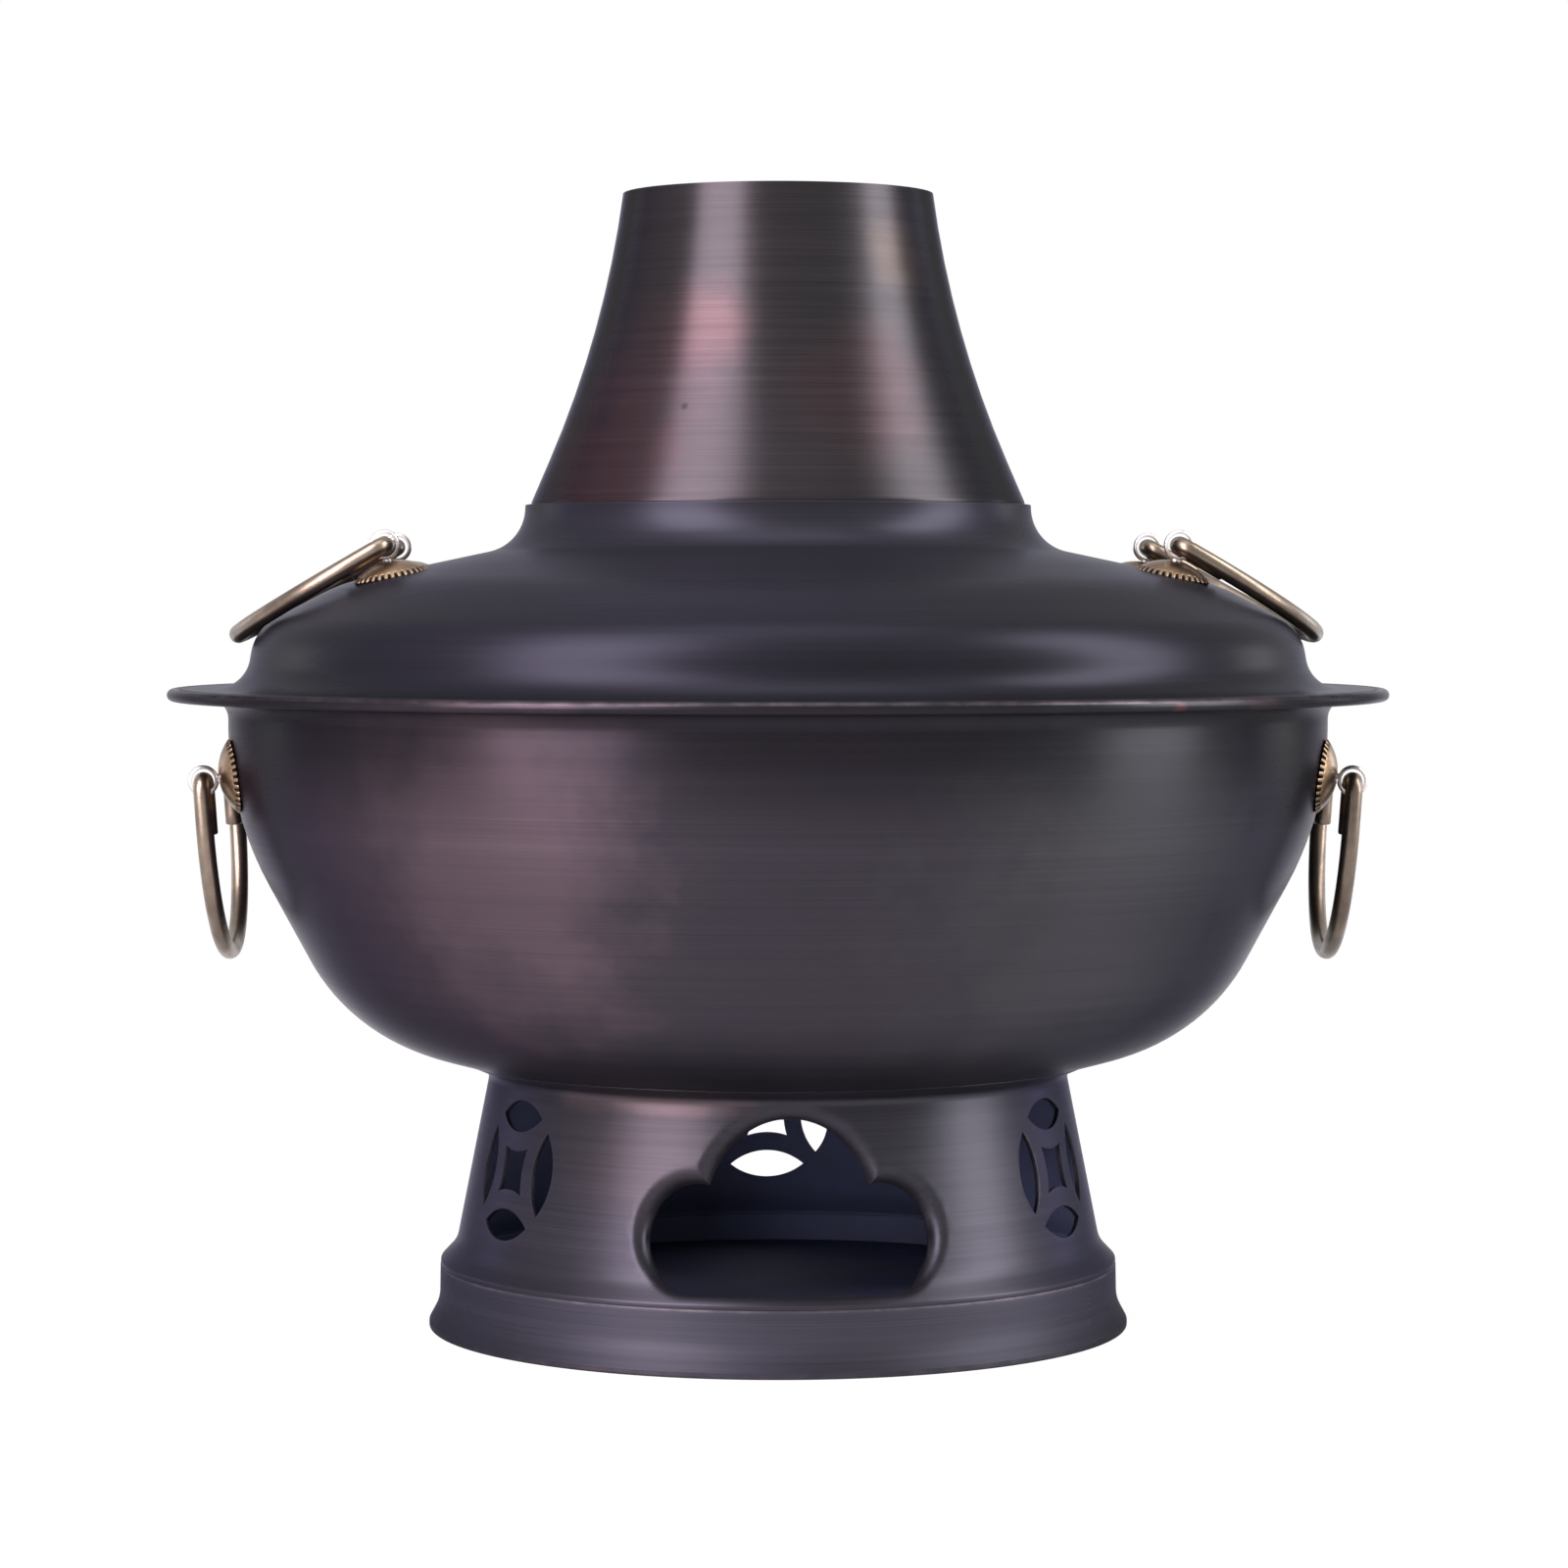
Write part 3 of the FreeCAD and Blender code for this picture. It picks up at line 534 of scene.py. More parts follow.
def makeBowl():
    s = bowlShape
    wall = walls["bowl"]
    side = radii["rim"] - s["rimWidth"]
    knee = side - s["sideIn"]
    sideHeight = levels["seat"] - s["neckHeight"]
    kneeHeight = sideHeight - s["sideRise"]
    mouth = radii["firebox"] + fits["solder"]
    beadCentre = radii["rim"] - s["beadSize"] / 2
    floorHeight = kneeHeight - s["floorSlope"] * (knee - mouth)
    flangeBottom = levels["seat"] - wall
    corners = [
        (mouth, floorHeight, 0),
        (knee, kneeHeight, s["kneeBend"]),
        (side, sideHeight, s["sideBend"]),
        (side, flangeBottom, s["neckBend"]),
        (beadCentre, flangeBottom, 0),
    ]
    outside = roundedLine(corners, s["turnStep"])
    inside = roundedLine(shiftedCorners(corners, wall), s["turnStep"])
    reach = s["beadSize"] / 2
    beadHeight = levels["seat"] + walls["lid"] - reach
    under = -math.pi - math.asin((flangeBottom - beadHeight) / reach)   # where the roll leaves the flange
    over = math.pi - math.asin((levels["seat"] - beadHeight) / reach)
    bead = []
    for index in range(s["beadSteps"] + 1):
        angle = under + (over - under) * index / s["beadSteps"]
        out, up = math.cos(angle) * reach, math.sin(angle) * reach
        bead.append(Vector((beadCentre + out, beadHeight + up)) * mm)
    ring = divided(outside[:-1] + bead + list(reversed(inside))[1:], 4 * mm)
    bm = bmesh.new()
    spinLine(bm, ring, turns["bowl"], closed=True)
    markInside(bm, lambda radius, height, outward, up:     # the cooking side is tinned
               radius < side - wall / 2 and height > floorHeight + 1 and (up > 0.3 or outward < -0.2))
    return addPiece("bowlSheet", bm, [bowlCopper, tin], "root", "bowl_copper", "bowl_shell")


fireboxShape = {"ledge": 6.0, "bend": 3.0, "shoulderRise": 7.2, "shoulderBend": 80.0, "neckRise": 11.0,
                "sootRise": 7.0}


def makeFirebox():
    s = fireboxShape
    neck = radii["chimney"] - walls["chimney"] - fits["solder"]
    foot = levels["chimneyFoot"]
    corners = [
        (radii["firebox"] - s["ledge"], levels["fireboxBottom"], 0),
        (radii["firebox"], levels["fireboxBottom"], s["bend"]),
        (radii["firebox"], levels["seat"] + s["shoulderRise"], s["shoulderBend"]),
        (radii["chimney"], foot, 0),
        (neck, foot, 0),
        (neck, foot + s["neckRise"], 0),
    ]
    bm = spunSheet(corners, walls["flue"], turns["flue"])
    sootTop = levels["fireboxBottom"] + s["sootRise"]
    markInside(bm, lambda radius, height, outward, up: outward < 0 or height < sootTop)
    return addPiece("fireboxTube", bm, [tin, flueInside], "root", "flue_copper", "firebox")


chimneyShape = {"skirtRise": 0.7, "skirtBend": 2.4, "kneeIn": 21.1, "kneeRise": 48.7, "bend": 290.0,
                "mouthIn": 5.4, "hem": 2.7, "hemDrop": 0.3, "hemBend": 2.2}


def makeChimney():
    s = chimneyShape
    wall = walls["chimney"]
    skirtTop = levels["lidTop"] + s["skirtRise"]
    knee = radii["chimney"] - s["kneeIn"]
    mouth = knee - s["mouthIn"]
    top = levels["chimneyTop"]
    corners = [
        (radii["chimney"], levels["chimneyFoot"], 0),
        (radii["chimney"], skirtTop, s["skirtBend"]),
        (knee, skirtTop + s["kneeRise"], s["bend"]),
        (mouth, top, s["hemBend"]),
        (mouth - s["hem"], top - s["hemDrop"], 0),      # the top edge is turned in
    ]
    bm = spunSheet(corners, wall, turns["chimney"], 3 * mm, turnStep=2.0)
    markInside(bm, lambda radius, height, outward, up: outward < 0 and height < top - wall)
    return addPiece("chimneyCone", bm, [chimneyCopper, flueInside], "root", "chimney_copper", "chimney")


makeBowl()
makeFirebox()
makeChimney()
print("bowl and flue ready")


lidShape = {"brimIn": 4.8, "brimBend": 10.0, "hipIn": 2.9, "hipRise": 18.2, "hipBend": 14.0,
            "shoulderIn": 24.7, "shoulderRise": 13.1, "shoulderBend": 50.0, "slopeRise": 11.2,
            "collarBend": 13.0}


def makeLid():
    s = lidShape
    wall = walls["lid"]
    brimTop = levels["seat"] + wall
    brim = radii["rim"] - bowlShape["rimWidth"] - s["brimIn"]
    hip = brim - s["hipIn"]
    shoulder = hip - s["shoulderIn"]
    hipHeight = levels["seat"] + s["hipRise"]
    shoulderHeight = hipHeight + s["shoulderRise"]
    collar = radii["chimney"] + fits["collar"] + wall
    corners = [
        (radii["rim"] - bowlShape["beadSize"] - fits["brim"], brimTop, 0),
        (brim, brimTop, s["brimBend"]),
        (hip, hipHeight, s["hipBend"]),
        (shoulder, shoulderHeight, s["shoulderBend"]),
        (collar, shoulderHeight + s["slopeRise"], s["collarBend"]),
        (collar, levels["lidTop"], 0),
    ]
    bm = spunSheet(corners, wall, turns["lid"], 3 * mm)
    markInside(bm, lambda radius, height, outward, up:
               radius < brim + 5 and (up < -0.2 or (outward < 0 and up < 0.5)))
    return addPiece("lidSheet", bm, [lidCopper, tin], "lid", "lid_copper", "lid_shell")


makeLid()
print("lid ready")


standShape = {
    "topHeight": 74.6, "spread": 9.7, "flange": 7.2, "flangeBend": 2.5, "flangeLap": 0.9, "ogeeRise": 6.0,
    "ogeeOut": 4.9, "ogeeBend": 9.0, "hemRise": 1.2, "hemBend": 1.0, "hemStep": 0.3,
    "turn": 2.3, "columns": 288, "rowStep": 2.2, "turnStep": 7.0, "bevel": 0.22,
}
doorShape = {
    "sill": 4.0, "lobe": 14.5, "lobeOffset": 27.1, "crown": 25.1, "lintel": 5.8, "arcPoints": 56,
    "roll": 4.5, "rollSteps": 9, "sillRoll": 0.5, "leastLip": 0.1, "depth": 5.3, "ease": 6.0,
}
ventShape = {
    "angles": (60.0, 180.0, 300.0), "lift": 1.0, "petalReach": 15.05, "petalLength": 11.45,
    "petalWidth": 4.35, "square": 6.4, "sag": 1.1, "arcPoints": 20,
}
flatCut = {"slab": 2.0, "cutterTop": 4.0, "cutterDepth": 10.0, "hemRoom": 0.8, "flangeRoom": 6.0}
standTopRadius = radii["firebox"] + bowlShape["standRoom"]
ogeeHeight = levels["footTop"] + standShape["ogeeRise"]
standNeck = standShape["topHeight"] - walls["stand"]


def standRadius(height):
    share = (standNeck - height) / (standNeck - ogeeHeight)
    return standTopRadius + standShape["spread"] * share


def standLine():
    s = standShape
    wide = standTopRadius + s["spread"]
    hem = wide + s["ogeeOut"] - s["hemStep"]
    upright = walls["stand"] * math.hypot(1, bowlShape["floorSlope"])
    flange = standTopRadius + s["flange"]
    lap = upright * s["flangeLap"]      # the flange's edge is dressed up into the solder under the bowl
    return [
        (hem, levels["footTop"], 0),
        (hem, levels["footTop"] + s["hemRise"], s["hemBend"]),
        (wide, ogeeHeight, s["ogeeBend"]),
        (standTopRadius, s["topHeight"] - upright, s["flangeBend"]),
        (flange, s["topHeight"] + bowlShape["floorSlope"] * s["flange"] - upright + lap, 0),
    ]


def lipRoom(height):
    # how deep the door's edge may turn in: less at the crown, where the firebox's bottom is near
    near = standRadius(height) - radii["firebox"] - fits["fire"]
    beside = levels["fireboxBottom"] - fits["fire"] - walls["stand"]
    share = min(max((height - beside) / doorShape["ease"] + 1, 0.0), 1.0)
    return doorShape["depth"] + min(near - doorShape["depth"], 0.0) * share


def doorArcs(margin):
    # the cloud's arcs when its outline is grown by margin: centre, radius, first and last angle
    d = doorShape
    base = levels["footTop"] + d["sill"]
    lobeHeight = base + d["lobe"]
    crownHeight = standShape["topHeight"] - d["lintel"] - d["crown"]
    lobe, crown = d["lobe"] + margin, d["crown"] + margin
    up = crownHeight - lobeHeight
    gap = math.hypot(d["lobeOffset"], up)
    along = (gap ** 2 + lobe ** 2 - crown ** 2) / (2 * gap)
    aside = math.sqrt(lobe ** 2 - along ** 2)
    cuspX = d["lobeOffset"] - along * d["lobeOffset"] / gap + aside * up / gap
    cuspZ = lobeHeight + along * up / gap + aside * d["lobeOffset"] / gap
    onCrown = math.atan2(cuspZ - crownHeight, cuspX)
    onLobe = math.atan2(cuspZ - lobeHeight, cuspX - d["lobeOffset"])
    down = -math.pi / 2
    return [
        ((0, crownHeight), crown, onCrown, math.pi - onCrown),
        ((-d["lobeOffset"], lobeHeight), lobe, math.pi - onLobe, math.pi - down),
        ((d["lobeOffset"], lobeHeight), lobe, down, onLobe),
    ]


def sillShare(angle):
    # the rolled edge gets tighter towards the sill, where the ogee begins
    low = 0.5 - 0.5 * math.sin(angle)
    return 1 - (1 - doorShape["sillRoll"]) * low ** 2


def doorPoint(arc, share, margin):
    # a point of the cloud grown by margin; arc 3 is the straight sill
    centre, radius, first, last = doorArcs(margin)[min(arc, 2)]
    if arc == 3:
        ends = [doorPoint(1, 1.0, margin), doorPoint(2, 0.0, margin)]
        return ends[0].lerp(ends[1], share)
    angle = first + (last - first) * share
    lobeOnly = sillShare(angle) if arc else 1.0
    reach = radius - margin + margin * lobeOnly
    return Vector((centre[0] + reach * math.cos(angle), centre[1] + reach * math.sin(angle)))


def doorShare(point, margin):
    # which arc a point of the grown outline lies on, and how far along it
    best = None
    for arc, (centre, radius, first, last) in enumerate(doorArcs(margin)):
        spoke = point - Vector(centre)
        angle = math.atan2(spoke.y, spoke.x)
        for turn in (0, 2 * math.pi):
            share = (angle + turn - first) / (last - first)
            if -0.02 <= share <= 1.02:      # a little past an arc's ends still counts
                share = min(max(share, 0.0), 1.0)
                off = (doorPoint(arc, share, margin) - point).length
                if best is None or off < best[0]:
                    best = (off, arc, share)
    left, right = doorPoint(3, 0.0, margin), doorPoint(3, 1.0, margin)
    share = min(max((point.x - left.x) / (right.x - left.x), 0.0), 1.0)
    off = (left.lerp(right, share) - point).length
    if best is None or off < best[0]:
        best = (off, 3, share)
    return best[1], best[2]


def cloudOutline(margin):
    count = doorShape["arcPoints"]
    points = []
    for arc in (0, 1, 3, 2):
        steps = count if arc != 3 else count // 2
        points += [doorPoint(arc, index / steps, margin) for index in range(steps)]
    return points


def arcThrough(start, middle, end, count):
    # points on the arc from start to end through middle, without the end itself
    chord = (end - start) / 2
    centreLine = start + chord
    sag = middle - centreLine
    if sag.length < 1e-9:
        return [start.lerp(end, index / count) for index in range(count)]
    radius = (chord.length_squared + sag.length_squared) / (2 * sag.length)
    centre = middle - sag.normalized() * radius
    first, last = start - centre, end - centre
    turn = first.angle_signed(last)
    return [centre + Matrix.Rotation(-turn * index / count, 2) @ first for index in range(count)]


def coinOutlines():
    v = ventShape
    middle = (ogeeHeight + standNeck) / 2 + v["lift"]
    outlines = []
    for sign in (-1, 1):
        for upright in (True, False):
            long = Vector((0, v["petalLength"])) if upright else Vector((v["petalLength"], 0))
            wide = Vector((v["petalWidth"], 0)) if upright else Vector((0, v["petalWidth"]))
            away = Vector((sign * v["petalReach"], 0)) if upright else Vector((0, sign * v["petalReach"]))
            centre = Vector((0, middle)) + away
            outlines.append(arcThrough(centre - long, centre - wide, centre + long, v["arcPoints"])
                            + arcThrough(centre + long, centre + wide, centre - long, v["arcPoints"]))
    square = []
    half, waist = v["square"], v["square"] - v["sag"]
    for quarter in range(4):
        spin = Matrix.Rotation(quarter * math.pi / 2, 2)
        ends = [spin @ Vector(p) for p in ((half, -half), (waist, 0), (half, half))]
        square += arcThrough(*ends, v["arcPoints"] // 2)
    outlines.append([p + Vector((0, middle)) for p in square])
    return outlines


def onRoundWall(outline):
    # a vent is punched straight through, so its width is measured across the cone
    middle = sum((p.y for p in outline), 0.0) / len(outline)
    around = standRadius(middle)
    return [Vector((around * math.asin(p.x / around), p.y)) for p in outline]


class WallLine:
    # the stand's outline from hem to flange, and how far along it each point lies

    def __init__(self, points):
        self.points = points
        self.lengths = [0.0]
        for before, after in zip(points, points[1:]):
            self.lengths.append(self.lengths[-1] + (after - before).length)

    def alongAt(self, height):
        # how far up the sheet a height on its wall lies
        for index, (before, after) in enumerate(zip(self.points, self.points[1:])):
            if before.y <= height <= after.y and after.y > before.y:
                run = self.lengths[index + 1] - self.lengths[index]
                return self.lengths[index] + run * (height - before.y) / (after.y - before.y)
        return self.lengths[-1]

    def wallAt(self, along):
        # place and outward direction on the wall's outline
        index = 0
        while index < len(self.lengths) - 2 and self.lengths[index + 1] < along:
            index += 1
        share = (along - self.lengths[index]) / (self.lengths[index + 1] - self.lengths[index])
        before, after = self.points[index], self.points[index + 1]
        way = after - before
        return before.lerp(after, share), Vector((way.y, -way.x)).normalized()


def flatSheet(line, around):
    # the stand's sheet laid flat as a slab: x runs round the stand, y up along its wall
    sheet = bmesh.new()
    rows = len(line.points) - 1
    bmesh.ops.create_grid(sheet, x_segments=standShape["columns"], y_segments=rows, size=1.0)
    halfWidth = math.pi * around
    for vert in sheet.verts:
        row = round((vert.co.y + 1) / 2 * rows)
        vert.co = Vector((vert.co.x * halfWidth, line.lengths[row], 0))
    slab = bmesh.ops.extrude_face_region(sheet, geom=sheet.faces[:])["geom"]
    bmesh.ops.translate(sheet, vec=(0, 0, -flatCut["slab"] * mm), verts=freshVerts(slab))
    bmesh.ops.recalc_face_normals(sheet, faces=sheet.faces)
    return sheet


def flatCutters(line, around):
    # blocks through the flat sheet in the shape of the door and the vents
    f = flatCut
    cutters = bmesh.new()
    outlines = [(cloudOutline(doorShape["roll"]), 0.0)]
    for angle in ventShape["angles"]:
        turn = math.radians((angle + 180) % 360 - 180)
        outlines += [(onRoundWall(o), turn) for o in coinOutlines()]
    for outline, turn in outlines:      # the vent behind lies on both ends of the flat sheet
        for wrap in (0, 2 * math.pi) if abs(turn) > 3 else (0,):
            shift = (turn - wrap if turn > 0 else turn + wrap) * around
            top = cutters.faces.new([
                cutters.verts.new((p.x * mm + shift, line.alongAt(p.y * mm), f["cutterTop"] * mm))
                for p in outline])
            grown = bmesh.ops.extrude_face_region(cutters, geom=[top])["geom"]
            bmesh.ops.translate(cutters, vec=(0, 0, -f["cutterDepth"] * mm), verts=freshVerts(grown))
    bmesh.ops.recalc_face_normals(cutters, faces=cutters.faces)
    return cutters


def piercedSheet(sheet, cutters):
    # the slab with its openings, of which only the upper face is kept
    flats = []
    for name, part in (("flatStand", sheet), ("flatCutters", cutters)):
        mesh = bpy.data.meshes.new(name)
        part.to_mesh(mesh)
        part.free()
        flats.append(bpy.data.objects.new(name, mesh))
        bpy.context.scene.collection.objects.link(flats[-1])
    cut = flats[0].modifiers.new("Cut", "BOOLEAN")
    cut.object, cut.operation, cut.solver = flats[1], "DIFFERENCE", "EXACT"
    graph = bpy.context.evaluated_depsgraph_get()
    bm = bmesh.new()
    bm.from_mesh(flats[0].evaluated_get(graph).to_mesh())
    for flat in flats:
        bpy.data.objects.remove(flat)
    behind = [f for f in bm.faces if f.calc_center_median().z < -0.1 * mm]
    bmesh.ops.delete(bm, geom=behind, context="FACES")
    bmesh.ops.remove_doubles(bm, verts=bm.verts, dist=1e-6)
    return bm


def rollDoor(bm, line):
    # the door's edge is rolled inwards, ring by ring, and ends in a short straight lip
    d = doorShape
    depth = bm.verts.layers.float.new("depth")
    reach = (d["lobeOffset"] + d["lobe"] + 2 * d["roll"]) * mm
    lowest, highest = flatCut["hemRoom"] * mm, line.lengths[-1] - flatCut["flangeRoom"] * mm
    rim = [e for e in bm.edges if e.is_boundary
           and all(abs(v.co.x) < reach and lowest < v.co.y < highest for v in e.verts)]
    shares = {v: doorShare(Vector((v.co.x / mm, line.wallAt(v.co.y)[0].y / mm)), d["roll"])
              for v in {v for e in rim for v in e.verts}}
    steps = d["rollSteps"]
    for index in range(1, steps + 2):
        rim, fresh = grownLoop(bm, rim)
        angle = math.pi / 2 * min(index, steps) / steps
        moved = {}
        for vert in fresh:
            older = next(e.other_vert(vert) for e in vert.link_edges if e.other_vert(vert) in shares)
            arc, share = shares[older]
            flat = doorPoint(arc, share, d["roll"] * (1 - math.sin(angle)))
            full = doorPoint(arc, share, d["roll"])
            bare = doorPoint(arc, share, 0.0)
            room = lipRoom(bare.y)
            vert.co = Vector((flat.x * mm, line.alongAt(flat.y * mm), 0))
            sunk = min((full - bare).length, room - d["leastLip"]) * (1 - math.cos(angle))
            vert[depth] = sunk if index <= steps else room
            moved[vert] = (arc, share)
        shares = moved
    return depth


def wrapSheet(bm, line, around, depth):
    # bends the flat sheet round the stand's axis, with the rolled edge as deep inside as it is marked
    for vert in bm.verts:
        place, outward = line.wallAt(min(max(vert.co.y, 0.0), line.lengths[-1]))
        angle = vert.co.x / around + math.radians(standShape["turn"] - 90)
        inside = outward * (-vert[depth] * mm)
        radius, height = place.x + inside.x, place.y + inside.y
        vert.co = Vector((radius * math.cos(angle), radius * math.sin(angle), height))
    bmesh.ops.remove_doubles(bm, verts=bm.verts, dist=2e-6)
    bmesh.ops.recalc_face_normals(bm, faces=bm.faces)
    outwards = sum(f.normal.x * f.calc_center_median().x + f.normal.y * f.calc_center_median().y
                   for f in bm.faces)
    if outwards < 0:    # the wall's thickness goes inwards
        bmesh.ops.reverse_faces(bm, faces=bm.faces)


def makeStand():
    s, d = standShape, doorShape
    line = WallLine(divided(roundedLine(standLine(), s["turnStep"]), s["rowStep"] * mm))
    around = standRadius(levels["footTop"] + d["sill"] + d["lobe"]) * mm    # the flat sheet's scale
    bm = piercedSheet(flatSheet(line, around), flatCutters(line, around))
    wrapSheet(bm, line, around, rollDoor(bm, line))
    stand = addPiece("standSheet", bm, [standCopper, paintedFillInside], "root", "stand_copper", "stand_shell")
    sheetWall = ("SOLIDIFY", {"thickness": walls["stand"] * mm, "offset": -1, "material_offset": 1})
    return finished(stand, sheetWall, bevelled(s["bevel"], 2))


makeStand()
print("stand ready")


footShape = {"flare": 3.1, "waistHeight": 7.5, "edgeHeight": 1.8, "edgeBend": 1.2, "bend": 12.0,
             "taper": 0.2, "floorDrop": 7.9, "floorRim": 6.0, "floorBend": 1.5}


def makeFoot():
    s = footShape
    waist = radii["foot"] - s["flare"]
    corners = [
        (radii["foot"], 0, 0),
        (radii["foot"], s["edgeHeight"], s["edgeBend"]),
        (waist, s["waistHeight"], s["bend"]),
        (waist - s["taper"], levels["footTop"], 0),
    ]
    bm = spunSheet(corners, walls["foot"], turns["foot"], 2 * mm)
    markInside(bm, lambda radius, height, outward, up: outward < -0.3)
    return addPiece("footBand", bm, [footCopper, paintedFillInside], "root", "stand_copper", "foot_ring")


def makeAshFloor():
    s = footShape
    rim = radii["foot"] - s["flare"] - s["taper"] - walls["foot"] - 2 * fits["solder"]
    height = levels["footTop"] - s["floorDrop"]
    corners = [(rim, height - s["floorRim"], 0), (rim, height, s["floorBend"]), (0.4, height, 0)]
    bm = bmesh.new()
    outside = divided(roundedLine(corners), 6 * mm)
    inside = divided(roundedLine(shiftedCorners(corners, walls["floor"])), 6 * mm)
    outside[-1].x = inside[-1].x = 0.0      # the plate is closed on the axis
    spinLine(bm, outside + list(reversed(inside)), turns["floor"])
    bmesh.ops.holes_fill(bm, edges=[e for e in bm.edges if e.is_boundary], sides=0)
    bmesh.ops.recalc_face_normals(bm, faces=bm.faces)
    return addPiece("ashFloor", bm, ash, "root", "stand_copper", "ash_floor")


grateShape = {"bevel": 0.7}


def makeGrate():
    # the CAD's grate with the round edges of a casting
    bm = bmesh.new()
    bm.from_mesh(frame["nodes"]["grate"].data)
    bmesh.ops.remove_doubles(bm, verts=bm.verts, dist=1e-6)
    bmesh.ops.dissolve_limit(bm, angle_limit=math.radians(1), verts=bm.verts, edges=bm.edges)
    grate = addPiece("grateBars", bm, iron, "root", "grate_iron", "grate")
    return finished(grate, bevelled(grateShape["bevel"], 3))


makeFoot()
makeAshFloor()
makeGrate()
print("foot and grate ready")


handleShape = {
    "wire": 5.0, "sides": 24, "hookInner": 0.7, "hookPlay": 0.2, "hookTip": 15.0, "drop": 50.5,
    "hookSteps": 8, "ringSteps": 56, "eyeWidth": 2.0, "eyeStrap": 1.1, "eyeGap": 0.8,
    "bowlHalfSpan": 34.0, "bowlDrop": 23.2, "bowlLean": 4.0,
    "lidHalfSpan": 38.0, "lidInwards": 9.4, "lidLying": 30.04,
}
rosetteShape = {"radius": 10.6, "height": 4.3, "wall": 0.9, "holeRoom": 0.1, "teeth": 32, "perTooth": 8,
                "rings": 22, "notch": 0.11, "dip": 0.3, "bare": 0.84,
                "rubbedFrom": 0.12, "darkFrom": 0.3, "darkWidth": 0.32}
pinShape = {"shank": 2.8, "slit": 0.12, "clinch": 7.5, "gap": 0.5, "bend": 0.2, "sink": 0.15,
            "domeSides": 12, "eyeSteps": 48, "legSides": 10, "bendSteps": 6}
hookBend = handleShape["wire"] / 2 + handleShape["hookInner"]
eyeMiddle = handleShape["wire"] / 2 + handleShape["eyeGap"] + handleShape["eyeStrap"] / 2
eyeRise = rosetteShape["height"] + handleShape["wire"] / 2 + handleShape["eyeGap"] + handleShape["eyeStrap"]


def pushLoop(bm, loop, way, steps=1):
    # extrudes an open ring of edges along a straight run
    for index in range(steps):
        loop, ends = grownLoop(bm, loop)
        bmesh.ops.translate(bm, vec=way / steps, verts=ends)
    return loop


def bendLoop(bm, loop, centre, angle, steps, axis="X"):
    # extrudes an open ring of edges round an arc about an axis
    step = Matrix.Rotation(angle / steps, 3, axis)
    for index in range(steps):
        loop, ends = grownLoop(bm, loop)
        bmesh.ops.rotate(bm, cent=centre, matrix=step, verts=ends)
    return loop


def capLoop(bm, loop, way, size):
    # closes a wire's end with a slightly rounded face
    for share, ahead in ((0.90, 0.16), (0.62, 0.10), (0.30, 0.03)):
        loop, ends = grownLoop(bm, loop)
        centre = sum((v.co for v in ends), Vector()) / len(ends)
        for vert in ends:
            vert.co = centre + (vert.co - centre) * share + way * size * ahead
    bmesh.ops.holes_fill(bm, edges=loop, sides=0)


def bailMesh(halfSpan):
    # bent wire on the Y axis, hanging down: hook, half ring, hook
    s = handleShape
    aside = hookBend + s["eyeWidth"] / 2 + s["hookPlay"]
    strand, inner = halfSpan + aside, halfSpan - aside
    ringHeight = strand - s["drop"]
    bm = bmesh.new()
    ring = bmesh.ops.create_circle(bm, segments=s["sides"], radius=s["wire"] / 2 * mm)["verts"]
    bmesh.ops.translate(bm, vec=Vector((0, -inner, -s["hookTip"])) * mm, verts=ring)
    first = loop = list({e for v in ring for e in v.link_edges})
    across = strand - inner - 2 * hookBend

    def spot(y, z):
        return Vector((0, y, z)) * mm

    def bend(y, z, turn=math.pi / 2, steps=s["hookSteps"]):
        return bendLoop(bm, loop, spot(y, z), turn, steps)

    loop = pushLoop(bm, loop, spot(0, s["hookTip"] - hookBend), 4)
    loop = bend(-inner - hookBend, -hookBend)
    loop = pushLoop(bm, loop, spot(-across, 0))
    loop = bend(-strand + hookBend, -hookBend)
    loop = pushLoop(bm, loop, spot(0, ringHeight + hookBend), 3)
    loop = bend(0, ringHeight, math.pi, s["ringSteps"])
    loop = pushLoop(bm, loop, spot(0, -hookBend - ringHeight), 3)
    loop = bend(strand - hookBend, -hookBend)
    loop = pushLoop(bm, loop, spot(-across, 0))
    loop = bend(inner + hookBend, -hookBend)
    loop = pushLoop(bm, loop, spot(0, hookBend - s["hookTip"]), 4)
    for end in (first, loop):
        capLoop(bm, end, Vector((0, 0, -1)), s["wire"] / 2 * mm)
    bmesh.ops.remove_doubles(bm, verts=bm.verts, dist=1e-7)
    bmesh.ops.recalc_face_normals(bm, faces=bm.faces)
    return bm


